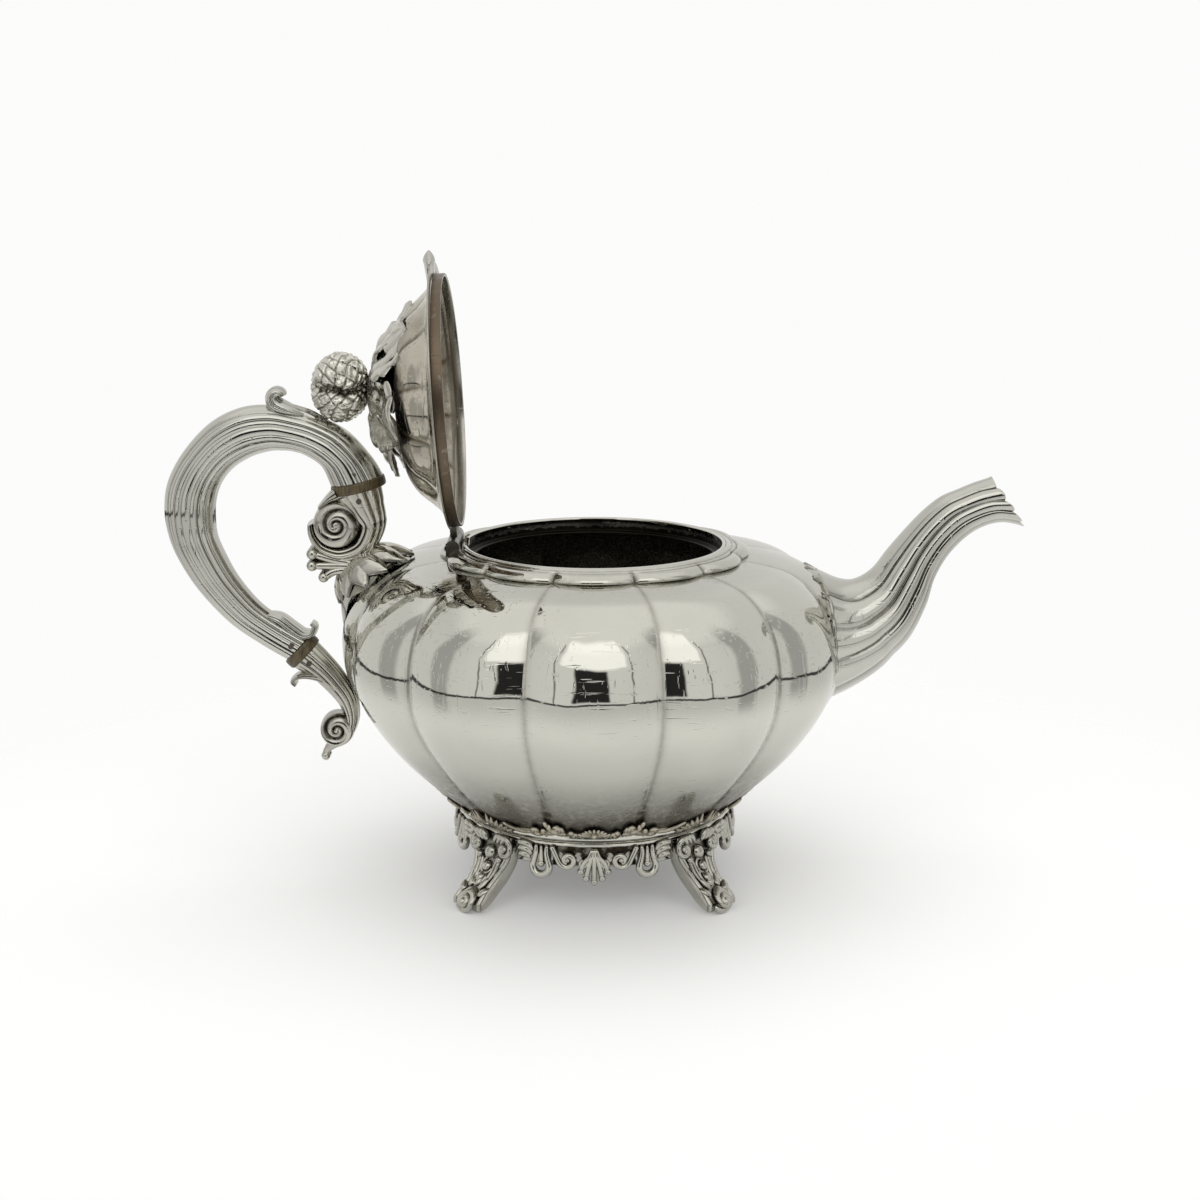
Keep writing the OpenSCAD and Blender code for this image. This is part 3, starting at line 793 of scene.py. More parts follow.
@dataclass(frozen=True)
class Stations:
    """A bent tube in the plane of the spout and handle: rows of [outer x, z, inner x, z, half width]."""

    rows: tuple
    steps: int = 12

    def dense(self) -> Array:
        """Smooth stations."""
        return curve(self.rows, self.steps)

    def rings(self, angle: Array, scale: Array, shrink: float = 0.0, ahead: Array | float = 0.0) -> Array:
        """Rings of points: centre + outward half * cos(angle) + half width * sin(angle), each times scale.

        Args:
            angle: angles round the tube; 0 is the outer side.
            scale: relief, 1 on the plain tube, as (rows, columns).
            shrink: moves the skin in, in millimetres.
            ahead: pushes points on along the tube, in millimetres.

        Returns:
            Array (rows, columns, 3).
        """
        s = self.dense()
        outer, inner = s[:, 0:2], s[:, 2:4]
        centre, half = (outer + inner) / 2, (outer - inner) / 2
        tall = np.linalg.norm(half, axis=1)[:, None]
        along, up = unit(np.gradient(centre, axis=0)), half / tall
        reach = ((tall - shrink) * scale) * np.cos(angle)
        side = ((s[:, 4:5] - shrink) * scale) * np.sin(angle)
        push = np.broadcast_to(ahead, reach.shape)
        x = centre[:, 0:1] + up[:, 0:1] * reach + along[:, 0:1] * push
        z = centre[:, 1:2] + up[:, 1:2] * reach + along[:, 1:2] * push
        return np.stack([x, side, z], axis=-1)


@dataclass(frozen=True)
class Spout:
    """The fluted spout and the leafy border where it meets the body."""

    wall: float = 0.8
    columns: int = 216
    crown_drop: float = 2.6
    grooves: tuple = (40, 76, 106, 142, 218, 254, 284, 320)
    form: Stations = Stations((
        (70.5, 103.5, 78.5, 59, 20), (76.5, 99.3, 86.5, 65, 18), (83.5, 98.4, 95.5, 72, 16),
        (89.5, 101.7, 102.5, 79.5, 14), (94.5, 108.3, 107.5, 90, 12), (100, 115, 110, 99, 10.3),
        (105.5, 121, 114, 106.5, 9.2), (111, 125.5, 119.5, 112.5, 8.4), (116.5, 128, 125, 116, 8),
        (122, 130.3, 131, 117.4, 8), (127, 131.7, 137.6, 116.4, 8.5),
    ))

    def tube(self) -> Shape:
        """Fluted outer skin, scalloped lip and inner skin.

        A flute is a sine arch between two grooves. The first rings ease onto the body's skin, and near the
        lip the crests swell a little and run further out than the grooves.

        Returns:
            The spout as one closed sheet.
        """
        a = circle(self.columns)
        count = len(self.form.dense())
        t = np.linspace(0, 1, count)[:, None]
        reed = ribs(a, self.grooves)[None, :]
        lip = climb(t, 0.9, 0.1)
        depth = 0.11 + 0.07 * np.sin(math.pi * t) + 0.05 * lip
        scale = (1 - depth * (1 - reed)) * (1 + 0.06 * lip**2 * reed)
        ahead = lip**2 * (reed - 0.75) * 1.6
        skins, deeps = [], []
        base = self.form.rows[0]
        for shrink in (0.0, self.wall):
            ring = self.form.rings(a, scale, shrink, ahead)
            ease = np.clip(1 - np.arange(count) / (2.2 * self.form.steps), 0, 1)[:, None]
            chord = base[2] + (base[0] - base[2]) * (ring[..., 2] - base[3]) / (base[1] - base[3])
            ring[..., 0] += ease * (MELON.front_of(ring[..., 1], ring[..., 2]) - 0.4 - chord)
            skins.append(ring)
            groove = np.clip(1 - reed / 0.7, 0, 1) ** 1.3
            # the inner skin takes a further 0.5, which is painted shade inside the spout
            deeps.append(np.clip(0.75 * groove + 0 * t + (0.5 if shrink else 0), 0, 1))
        points = np.concatenate([skins[0], skins[1][::-1]])
        return grid(points, np.concatenate([deeps[0], deeps[1][::-1]]), loop_rows=True)

    def seam_line(self, spread: float, reach: float, count: int) -> Array:
        """Points round the spout's root on the body, from -reach to reach degrees off the top."""
        y, z = self.root_edge(np.radians(np.linspace(-reach, reach, count)), spread)
        return np.stack([MELON.front_of(y, z), y, z], axis=1)

    def root_edge(self, angle: Array | float, spread: float) -> tuple[Array, Array]:
        """Where the spout's root meets the body, spread wider, at angles off its top."""
        _, top, _, low, half = self.form.rows[0]
        top -= self.crown_drop
        return (half + spread) * np.sin(angle), (top + low) / 2 + ((top - low) / 2 + spread) * np.cos(angle)

    def border(self) -> Shape:
        """A narrow leafy rim over the joint: a knotted cord with small leaves turned out onto the body."""
        count, knots = 240, 13
        line = self.seam_line(0.3, 112, count) + np.array([0.45, 0, 0])
        t = np.linspace(0, 1, count)
        parts = [tube_3d(line, 0.4 + 0.42 * np.abs(np.sin(knots * math.pi * t)) ** 0.7, 10)]
        for k in range(-11, 12):
            stem = []
            for far, lean in ((-0.6, 0), (0.3, 1.2), (1.1, 2.0), (1.9 + 0.5 * (k % 2), 1.5), (2.2, 0.6)):
                a = math.radians(k * 9.6 + lean * (2 if k % 2 else -2))
                y, z = self.root_edge(a, far)
                stem.append((float(MELON.front_of(np.array(y), np.array(z))) + 0.3, float(y), float(z)))
            leaf = curve(stem, 3)
            parts.append(tube_3d(leaf, 0.62 * np.sin(np.linspace(0.7, 2.9, len(leaf))), 8))
        return merge(parts)

    def build(self) -> None:
        """Builds and dresses the spout and its border."""
        put_in_scene("fluted_spout", self.tube(), REEDED, "pot", ("spout",))
        put_in_scene("spout_leaf_border", self.border(), CAST, "pot", ("spout_border",))


def tube_3d(path: Array, radius: Array, sides: int) -> Shape:
    """A round strand along a path in space: rings square to the path, all turned from one fixed direction.

    Args:
        path: points (k, 3).
        radius: radius at each point.
        sides: points round it.

    Returns:
        The closed strand.
    """
    tangent = unit(np.gradient(path, axis=0))
    across = unit(np.cross(tangent, np.array([0.31, 0.17, 0.93])))
    third = np.cross(tangent, across)
    a = circle(sides)
    tip = np.sqrt(np.clip(np.minimum(np.arange(len(path)), np.arange(len(path))[::-1]) / 2 + 0.05, 0, 1))
    r = (np.asarray(radius) * tip)[:, None, None]
    ring = path[:, None] + r * (across[:, None] * np.cos(a)[:, None] + third[:, None] * np.sin(a)[:, None])
    return grid(ring, 0.25, caps=True)


# ---------------------------------------------------------------- stand


@dataclass(frozen=True)
class Stand:
    """Ring moulding, concave band, scroll border, four feet and four aprons."""

    ring: float = 45.0
    border_z: float = 27.0
    sides: tuple = (
        ("front_apron", 270), ("back_apron", 90), ("spout_side_apron", 0), ("handle_side_apron", 180),
    )
    corners: tuple = (
        ("front_left_foot", 225), ("front_right_foot", 315), ("back_left_foot", 135), ("back_right_foot", 45),
    )

    def band(self) -> Shape:
        """The ring of two rounds over a concave band, turned from one outline."""
        r = self.ring
        corners = [
            (40.6, 23.9), (44.5, 26.7), (r, 26.8), (r + 0.35, 26.2), (r + 0.45, 25.4), (r - 0.1, 24.9),
            (r - 0.5, 24.6), (r - 0.3, 24.2), (r + 0.1, 23.8), (r - 0.1, 22.9), (r - 1.3, 22.3),
            (r - 2.2, 20.8), (r - 2.8, 19), (r - 2.9, 17.3), (r - 2.4, 15.6), (r - 3.6, 15.5), (40.7, 17.5),
            (40.7, 22),
        ]
        line = filleted(corners, 0.5, 5)
        groove = bell(line[:, 1], 24.6, 0.35) * (line[:, 0] > 43)
        low = climb(-line[:, 1], -23.4, 3) * 0.35
        return lathe(line, 288, np.clip(0.9 * groove + low, 0, 1))

    def wrap(self, around: float) -> Place:
        """Lays u along the girth and v as height on the band, with n standing out of it."""
        def put(u: Array, v: Array, n: Array) -> Array:
            """Applies the map."""
            a = math.radians(around) + u / self.ring
            return polar(self.ring - 1.2 + n, a, v)
        return put

    def apron(self, around: float) -> Shape:
        """A beaded fan, pairs of small curls, C-scrolls and pear loops, and leaf sprays, on a thin web.

        Args:
            around: the apron's side, in degrees.

        Returns:
            The apron.
        """
        put = self.wrap(around)
        web_u = np.linspace(-25, 25, 101)
        off = np.abs(web_u)
        low = 21.2 + 0 * web_u
        for middle, half, drop in ((0.0, 3.2, 5.0), (7.9, 2.0, 2.2), (16.8, 2.0, 1.4)):
            low -= drop * np.exp(-(((off - middle) / half) ** 4))
        low -= 1.6 * climb(off, 20, 4)
        back, front, top = 0.1, 0.9, 23.4
        edges = ((top, back), (low, back), (low, front), (top, front))
        ring = np.stack([np.stack(np.broadcast_arrays(web_u, v, n), 1) for v, n in edges], axis=1)
        parts = [grid(ring, 1.0, caps=True).laid(put)]
        tips = ((0, 11.9), (-2.5, 13.0), (2.5, 13.0), (-4.2, 15.2), (4.2, 15.2))
        for u, v in tips:
            ray = ((u * 0.15, 22.6, 1.2), (u * 0.35, 20.0, 1.7), (u * 0.75, v + 2.9, 1.6), (u, v, 1.5))
            parts.append(strand(curve(ray, 5), 0.6, 0.85, 0.95, sides=9, place=put))
            parts.append(bead(u, v, 1.15, put, 1.6))
        for s in (-1, 1):
            eye = raised(spiral(s * 3.3, 17.9, 1.15, 1.1, 90, -s * 0.95, 22), 1.8)
            parts.append(strand(eye, 0.45, 0.45, 0.45, sides=8, place=put))
            parts.append(bead(s * 3.3, 17.9, 0.5, put, 1.7))
            arm = curve([(s * 13.4, 23.2), (s * 12.3, 20.8), (s * 10.9, 18.0)], 6)
            curl = spiral(s * 8.2, 19.0, 2.9, 0.9, -20 if s > 0 else 200, -s * 1.2, 36)
            run = np.concatenate([arm[:-1], curl])
            run = raised(run, 1.7 + 0.5 * np.linspace(0, 1, len(run)))
            parts.append(strand(run, 0.8, 0.95, 0.7, sides=12, place=put))
            parts.append(bead(s * 8.2, 19.0, 0.8, put, 2.2))
            parts.append(self.pear(s, put))
            parts += self.spray(s, put)
        return merge(parts)

    def spray(self, s: int, put: Place) -> list[Shape]:
        """Three arching leaves that run from a pear loop to the foot on side s."""
        rows = (
            ((19.6, 20.6), (21.2, 23.0), (23.6, 23.2), (25.6, 21.8)),
            ((19.8, 19.2), (21.4, 21.2), (23.6, 21.4), (25.4, 19.6)),
            ((20.4, 18.0), (21.8, 19.4), (23.6, 19.4), (25.0, 17.4)),
        )
        high = 1.3 + 0.9 * np.sin(np.linspace(0, 3, 19))
        lines = [raised(curve([(s * u, v) for u, v in row], 6), high) for row in rows]
        return [strand(line, 0.5, 1.15, 0.4, sides=10, place=put) for line in lines]

    def pear(self, s: int, put: Place) -> Shape:
        """A thick pear loop with a drop in it on side s."""
        middle, round_of = s * 16.8, 2.75
        a = np.radians(np.linspace(150, 390, 34))
        loop = np.stack([middle + round_of * np.cos(a), 16.2 + round_of * np.sin(a)], axis=1)
        top = curve([(middle - 1.9, 23.0), (middle - 1.7, 20.6), loop[0]], 5)
        tail = curve([loop[-1], (middle + 1.7, 20.6), (middle + 1.9, 23.0)], 5)
        run = np.concatenate([top[:-1], loop, tail[1:]])
        run = raised(run, 1.3 + 0.7 * np.sin(np.linspace(0, math.pi, len(run))))
        drop = raised(curve([(middle, v) for v in (22.8, 20.6, 18.4, 17.0)], 5), 1.5)
        return merge([
            strand(run[::s], 0.6, 1.25, 0.6, sides=12, place=put),
            strand(drop, 0.4, 0.75, 1.0, sides=10, place=put),
            bead(middle, 17.0, 1.2, put, 1.6),
        ])

    def border(self) -> Shape:
        """Scroll border on the body: two cords, shells at the four sides with scrolls, and leaves between."""
        parts: list[Shape] = []
        a, turn = circle(480), circle(8)[:, None]
        out = polar(np.ones(480), a, 0.0)[:, None]
        for v, r in ((0.3, 0.75), (1.5, 0.45)):
            girth = MELON.radius_at(np.full(480, self.border_z + v), a)
            cord = polar(girth, a, self.border_z + 0.8 * v)[:, None]
            parts.append(grid(cord + r * (out * np.cos(turn) + UP * np.sin(turn)), 0.4, loop_rows=True))
        for side in range(4):
            parts += self.shell_and_scrolls(self.steep(MELON.lay(side * 90 + 270, self.border_z)))
            parts += self.leaf_mass(self.steep(MELON.lay(side * 90 + 45, self.border_z)))
        return merge(parts)

    def steep(self, put: Place) -> Place:
        """Stretches v, since the body leans out fast just over the ring."""
        return lambda u, v, n: put(u, v * 1.75, n)

    def shell_and_scrolls(self, put: Place) -> list[Shape]:
        """The fan shell, and to both sides of it scrolls, a long arm and small leaves."""
        parts: list[Shape] = []
        scrolls = ((6.0, 1.9, 1.5, 90, 1.1), (11.2, 4.3, 2.4, 40, 1.2), (17.6, 2.6, 2.4, 150, -1.2))
        for tilt in range(-80, 81, 20):
            a = math.radians(tilt)
            far = np.linspace(0.5, 3.7, 8)
            ray = np.stack([far * math.sin(a) * 1.15, 1.5 + far * math.cos(a), 1.0 + 0 * far], 1)
            parts.append(strand(ray, 0.3, 0.5, 0.65, sides=8, place=put))
        parts.append(bead(0, 1.7, 0.95, put, 1.1))
        for s in (-1, 1):
            for cu, cv, r, start, turns in scrolls:
                begin = start if s > 0 else 180 - start
                scroll = raised(spiral(s * cu, cv, r, 0.5, begin, -s * turns, 28), 1.0)
                parts.append(strand(scroll, 0.85, 0.8, 0.5, sides=9, place=put))
                parts.append(bead(s * cu, cv, 0.65, put, 1.2))
            arm = raised(curve([(s * 19.4, 1.2), (s * 22, 0.9), (s * 25, 1.7), (s * 28.5, 3.9)], 5), 0.7)
            parts.append(strand(arm, 0.5, 0.8, 0.5, sides=9, place=put))
            for k, (u, v) in enumerate(((3.4, 0.9), (8.4, 1.3), (8.9, 3.4), (13.6, 5.2), (14.6, 2.0))):
                leaf = ((s * u, v - 0.6), (s * (u + 0.5), v + 0.7), (s * (u + 1.4 - 0.2 * k), v + 1.7))
                parts.append(strand(raised(curve(leaf, 5), 0.9), 0.5, 0.7, 0.25, sides=8, place=put))
        return parts

    def leaf_mass(self, put: Place) -> list[Shape]:
        """Two sprays of short ragged leaves that lean apart over a foot."""
        parts: list[Shape] = []
        for s in (-1, 1):
            for k in range(6):
                a = math.radians(s * (18 + 12 * k))
                far = np.linspace(0, 4.6 - 0.35 * k, 10)
                u, v = s * (1.0 + 1.1 * k) + far * math.sin(a), 0.4 + far * math.cos(a)
                stem = np.stack([u, v, 0.3 + 0.7 * np.sin(far * 0.9)], 1)
                width = 0.95 * np.sin(np.linspace(0.5, 3.05, 10)) * (1 + 0.2 * np.sin(far * 5))
                parts.append(blade(stem, width, 0.5, 0.45, put, 0.45, veins=1, vein_depth=0.35, half=4))
        return parts

    def foot_frame(self, around: float) -> Place:
        """Lays u across the foot, v as height and n as distance from the pot's axis."""
        def put(u: Array, v: Array, n: Array) -> Array:
            """Applies the map."""
            c, s = math.cos(math.radians(around)), math.sin(math.radians(around))
            return np.stack([n * c - u * s, n * s + u * c, v], axis=-1)
        return put

    def foot(self, around: float) -> Shape:
        """A splayed scroll foot.

        The leg is a section carried down an S line: its face is hollow between two raised edges and its back
        is a smooth flank. Rails, scrolls, beads, ribs, leaves and the toe's spiral rosette lie on the face.

        Args:
            around: the foot's corner, in degrees.

        Returns:
            The foot, flat where it stands.
        """
        put = self.foot_frame(around)
        spine = curve([
            (42.4, 23.4, 7.0, 3.0), (42.6, 19.4, 7.8, 3.7), (43.2, 15.0, 7.2, 4.2), (45.2, 10.8, 6.0, 4.2),
            (48.8, 7.0, 5.5, 4.0), (52.8, 4.0, 5.8, 3.6), (56.2, 2.2, 6.0, 2.4),
        ], 9)
        radial, height, half, thick = spine.T
        slope = unit(np.gradient(spine[:, :2], axis=0))
        outward = np.stack([-slope[:, 1], slope[:, 0]], axis=1)
        a = circle(56)
        wide, deep = np.cos(a), np.sin(a)
        front = np.clip(deep, 0, 1)
        edge = bell(np.abs(wide), 0.82, 0.14) * front
        across = half[:, None] * np.sign(wide) * np.abs(wide) ** 0.8
        section = np.sign(deep) * np.abs(deep) ** 0.75 + 0.3 * edge - 0.22 * front**2
        deepness = thick[:, None] * section
        n = radial[:, None] + outward[:, 0:1] * deepness
        v = np.maximum(height[:, None] + outward[:, 1:2] * deepness, 0.0)
        ring = np.stack([across, v, n], axis=-1)
        hollow = np.broadcast_to(0.5 * front - 0.5 * edge, across.shape).clip(0, 1)
        parts = [grid(ring, hollow, caps=True).laid(put)]
        surface = np.stack([radial, height], axis=1) + outward * (thick * 0.8)[:, None]
        order = np.argsort(surface[:, 1])
        face_v, face_r = surface[order, 1], surface[order, 0]

        def face(u: Array, v: Array, n: Array) -> Array:
            """Lays u across and v as height on the leg's front, n in front of it."""
            return put(u, np.maximum(v, 0.05), np.interp(v, face_v, face_r) + n)

        def draw(path: Array, high: Array | float, *radii: float, sides: int) -> None:
            """Adds a strand along (u, v) at a height over the face."""
            parts.append(strand(raised(path, high), *radii, sides=sides, place=face))

        for s in (-1, 1):
            rail = ((6.6, 21), (7.4, 17), (5.9, 12.5), (4.8, 8.5), (5.2, 4.5), (5.6, 1.4))
            draw(curve([(s * u, v) for u, v in rail], 7), -0.5, 0.7, 0.8, 0.8, sides=10)
            top = spiral(s * 6.4, 19.4, 3.1, 0.8, 90 + s * 30, -s * 1.35, 36)
            draw(top, np.linspace(0.4, 1.5, 36), 0.8, 1.0, 0.7, sides=12)
            parts.append(bead(s * 6.4, 19.4, 1.0, face, 1.4))
            for k in range(3):
                leaf = ((1.5 + 1.5 * k, 20.6), (3.4 + 1.9 * k, 23.4), (6.4 + 1.6 * k, 22.8 - k))
                arch = 0.7 + 0.8 * np.sin(np.linspace(0, 3, 13))
                draw(curve([(s * u, v) for u, v in leaf], 6), arch, 0.6, 1.0, 0.3, sides=9)
            for k in range(2):
                rib = ((4.3 - 1.1 * k, 15.6), (3.9 - 1.3 * k, 11.4), (2.8 - 0.9 * k, 8.2))
                draw(curve([(s * u, v) for u, v in rib], 6), 0.1, 0.7, 0.55, 0.3, sides=8)
            parts.append(bead(s * 4.4, 15.9, 1.15, face, 0.5))
        parts.append(bead(0, 17.6, 2.3, face, 0.3, 0.8))
        for k, (u, v, r) in enumerate(((0.3, 13.4, 1.5), (-0.3, 10.4, 1.35))):
            parts.append(bead(u, v, r, face, 0.5))
            draw(spiral(u, v, r + 1.0, r + 0.5, 60 + 40 * k, 0.8, 18), 0.3, 0.35, 0.5, 0.35, sides=8)
        toe_v = 4.4
        draw(spiral(0, toe_v, 4.0, 0.8, 200, 2.1, 64), np.linspace(0.4, 2.2, 64), 1.1, 0.95, 0.7, sides=12)
        parts.append(bead(0, toe_v, 1.1, face, 2.1))
        for tilt in range(-60, 61, 30):
            b = math.radians(tilt)
            leaf = [(far * math.sin(b), toe_v + far * math.cos(b)) for far in (3.6, 4.8, 6.0, 7.0)]
            draw(curve(leaf, 4), 0.2, 0.7, 1.0, 0.3, sides=9)
        whole = merge(parts)
        whole.points[:, 2] = np.maximum(whole.points[:, 2], 0.0)
        return whole

    def build(self) -> None:
        """Builds and dresses the whole stand."""
        put_in_scene("stand_band", self.band(), POLISHED, "pot", ("stand_skirt",))
        put_in_scene("scroll_border", self.border(), BROWNED, "pot", ("stand_border",))
        for name, around in self.sides:
            put_in_scene(name + "_casting", self.apron(around), CAST, "pot", (name,))
        for name, around in self.corners:
            put_in_scene(name + "_casting", self.foot(around), CAST, "pot", (name,))


# ---------------------------------------------------------------- handle


EVEN_GROOVES = (20, 48, 75, 105, 132, 160, 200, 228, 255, 285, 312, 340)


@dataclass(frozen=True)
class Handle:
    """The reeded loop, its two sockets, bone insulators, thumb leaf and shoulder leaf."""

    loop_rows: tuple = (
        (-67.7, 133, -84.4, 129.4), (-71.2, 138.8, -87.1, 135.5), (-78, 146.4, -92, 139),
        (-85.7, 150.8, -96, 140.3), (-94, 153.4, -99.5, 140.6), (-103, 155.2, -103.5, 140.4),
        (-112.6, 154.3, -109.5, 138.6), (-122.3, 149.5, -115.3, 135), (-131, 140.5, -119.2, 130.3),
        (-136.4, 131, -121.3, 124.7), (-138, 122, -121.8, 119), (-137, 113, -121.3, 113),
        (-134, 104.9, -118.8, 106.5), (-128, 94.9, -115, 99.2), (-118.6, 84.3, -108.7, 91.2),
        (-109, 77.2, -101.7, 85.7), (-100.5, 72, -92.7, 80.2),
    )
    grooves: tuple = (40, 62, 78, 102, 118, 140, 220, 242, 258, 282, 298, 320)
    upper: tuple[float, float] = (-75.6, 129.5)
    upper_tilt: float = 13.0
    lower: tuple[float, float] = (-95.3, 74.6)
    lower_tilt: float = 46.0

    def loop(self) -> Shape:
        """The loop as one reeded skin, closed at both ends, where the bone rings hide it.

        Returns:
            The tube, sunken in its grooves.
        """
        rows = tuple((*r, math.hypot(r[0] - r[2], r[1] - r[3]) / 2) for r in self.loop_rows)
        form = Stations(rows, 14)
        a = circle(192)
        reed = np.tile(ribs(a, self.grooves, 0.4), (len(form.dense()), 1))
        deep = np.clip(1 - reed / 0.62, 0, 1) ** 1.3 * 0.95
        return grid(form.rings(a, 1 - 0.1 * (1 - reed)), deep, caps=True)

    def disc(self, at: tuple[float, float], tilt: float, radius: float, thick: float) -> Shape:
        """A rounded disc set square to the handle at a joint."""
        half = thick / 2
        corners = [(0.4, -half), (radius, -half), (radius + 0.15, 0), (radius, half), (0.4, half)]
        return tilted(lathe(filleted(corners, 0.8, 6), 96, 0.2), tilt, at)

    def lip(self) -> Shape:
        """The tongue that leaves the loop's lower end, runs along the joint and curls up."""
        return self.scroll((
            (-106.0, 86.8, 1.2, 3.4), (-102.2, 85.6, 1.9, 4.6), (-97.9, 82.4, 1.9, 5.0),
            (-94.6, 80.4, 1.6, 5.1), (-91.8, 80.8, 1.3, 4.9), (-90.9, 82.9, 1.0, 4.4),
            (-92.0, 84.2, 0.7, 3.8),
        ), 8, 0.12)

    def snail(self, at: tuple[float, float], radius: float, half: float, growth: float, start: float,
              rings: tuple[int, int] = (26, 120)) -> Shape:
        """A rolled end, round in the handle's plane: both faces carry a logarithmic spiral ridge.

        The height of a face follows the phase of ln(radius / r) / ln(growth) less the share of a turn, so one
        ridge winds in to a round eye; the rim is rounded over.

        Args:
            at: its middle in the handle's plane.
            radius: its rim.
            half: half its width across the handle.
            growth: how much a turn of the spiral grows.
            start: where the spiral meets the rim, in degrees.
            rings: rows from rim to eye and columns round.

        Returns:
            The closed shape.
        """
        rows, cols = rings
        share = np.linspace(1, 0.03, rows)[:, None]
        a = circle(cols)[None]
        phase = (np.log(1 / share) / math.log(growth) - (a - math.radians(start)) / TAU) % 1.0
        band = np.sin(np.clip(phase / 0.88, 0, 1) * math.pi) ** 0.55
        eye = np.clip(1 - share / 0.17, 0, 1) ** 0.5
        lift = half - 1.5 + 1.1 * band * (1 - eye) + 1.7 * eye
        lift = lift * (1 - climb(share, 0.93, 0.07) ** 2 * 0.25)
        deep = np.clip(1.15 * (1 - band) ** 1.5 * (1 - eye), 0, 1)
        around = np.linspace(-1, 1, 9)[1:-1, None]
        bulge = 1 + 0.05 * (1 - around**2) - 0.05 * bell(around, 0, 0.12)
        rim = polar(radius * bulge, a, 0.72 * half * around)
        left, right = (polar(radius * share, a, side * lift) for side in (-1, 1))
        points = np.concatenate([left[::-1], rim, right])[..., [0, 2, 1]] + np.array([at[0], 0, at[1]])
        hollow = np.concatenate([deep[::-1], 0.15 + 0 * around * a, deep])
        return grid(points, hollow, caps=True)

    def scroll(self, rows: tuple, steps: int, depth: float,
               grooves: tuple[float, ...] = EVEN_GROOVES) -> Shape:
        """A reeded strap along a curve in the handle's plane.

        Args:
            rows: (x, z, half depth in the plane, half width across it), one for each point.
            steps: steps between two rows.
            depth: depth of the grooves as a share of the section.
            grooves: where they lie round the section, in degrees.

        Returns:
            The closed strap.
        """
        dense = curve(rows, steps)
        path, half_x, half_y = dense[:, :2], dense[:, 2:3], dense[:, 3:4]
        tangent = unit(np.gradient(path, axis=0))
        out = np.stack([-tangent[:, 1], tangent[:, 0]], axis=1)
        a = circle(96)
        reed = ribs(a, grooves)
        scale = 1 - depth * (1 - reed)
        reach, side = half_x * np.cos(a) * scale, half_y * np.sin(a) * scale
        x, z = path[:, 0:1] + out[:, 0:1] * reach, path[:, 1:2] + out[:, 1:2] * reach
        return grid(np.stack([x, side, z], axis=-1), np.clip(1 - reed / 0.5, 0, 1) ** 2 * 0.9, caps=True)

    def upper_socket(self) -> Shape:
        """The strap falls from the insulator and winds under a snail; a beaded leaf hangs below it.

        Returns:
            The socket.
        """
        fall = (
            (-76.0, 128.0, 8.2, 7.9), (-73.4, 122.5, 6.4, 7.6), (-71.3, 117.0, 4.4, 7.4),
            (-73.6, 111.0, 3.7, 7.2), (-77.4, 108.2, 3.1, 6.9), (-82.4, 107.3, 2.6, 6.7),
            (-87.6, 109.4, 2.0, 6.5), (-90.4, 113.4, 1.5, 6.4), (-91.0, 117.4, 1.0, 6.4),
        )
        shoulder = ((-82.0, 127.0, 2.6, 6.8), (-84.8, 125.4, 1.5, 6.9), (-87.8, 122.6, 0.9, 6.6))
        foot = ((-73.6, 108.4, 3.6, 6.8), (-73.0, 104.4, 4.6, 7.6), (-73.0, 100, 5.6, 9.0))
        parts = [
            self.scroll(fall, 10, 0.14, (15, 62, 118, 165, 195, 242, 298, 345)),
            self.snail((-82.4, 117.3), 7.4, 7.3, 3.3, -60),
            self.scroll(shoulder, 8, 0.1),
            self.scroll(foot, 8, 0.08),
        ]
        tips = ((-90.8, 107.8), (-91.0, 104.0), (-87.4, 100.2))
        for y in (-4.8, -1.6, 1.6, 4.8):
            for k, (x, z) in enumerate(tips):
                stem = ((-77.5, 104.6 - k, y * 0.7), (-83.6, 105.8 - 1.9 * k, y * 0.9), (x + 0.8, z, y))
                parts.append(strand(curve(stem, 7), 1.6, 1.35, 1.3, sides=12))
                parts.append(bead(x + 0.4, z, 1.95 - 0.1 * k, None, y))
        return merge(parts)

    def lower_socket(self) -> Shape:
        """The strap leaves the insulator, runs down the body to a snail, with a curl above and a tail below.

        Returns:
            The socket.
        """
        fall = (
            (-94.4, 73.6, 5.9, 5.5), (-89.6, 69.6, 4.9, 5.4), (-85.2, 64.8, 4.3, 5.2),
            (-81.2, 59.0, 3.6, 5.0), (-79.6, 53.0, 2.6, 4.8), (-80.2, 48.0, 1.7, 4.6),
        )
        curl = (
            (-84.4, 62.6, 2.2, 4.8), (-88.6, 65.8, 1.9, 5.0), (-93.0, 66.8, 1.4, 5.0),
            (-96.6, 66.4, 1.0, 4.8), (-98.6, 64.8, 0.8, 4.4), (-97.6, 63.4, 0.6, 3.8),
        )
        parts = [
            self.scroll(fall, 10, 0.1),
            self.snail((-84.4, 48.6), 5.4, 5.2, 3.2, 30, (20, 90)),
            self.scroll(curl, 8, 0.1),
        ]
        tail = curve([(-82.4, 44.6, 0), (-86.0, 43.0, 0), (-88.0, 41.4, 0), (-88.4, 39.6, 0)], 7)
        for y in (-1.8, 1.8):
            parts.append(strand(tail + np.array([0, 0, y]), 1.4, 1.2, 1.2, sides=10))
            parts.append(bead(-88.5, 39.4, 1.5, None, y))
        return merge(parts)

    def shoulder_leaf(self) -> Shape:
        """A cluster of pointed leaves over a swelling on the shoulder, all springing from one point.

        Returns:
            The cluster.
        """
        def swell(u: Array, v: Array) -> Array:
            """A low mound, longer downwards: 5.6 mm high, falling off as a power of a cosine."""
            reach = np.where(v < 2.0, 20.0, 16.5)
            far = np.clip(np.hypot(u / 14.5, (v - 2.0) / reach), 0, 1)
            return 5.6 * np.cos(far * math.pi / 2) ** 1.3

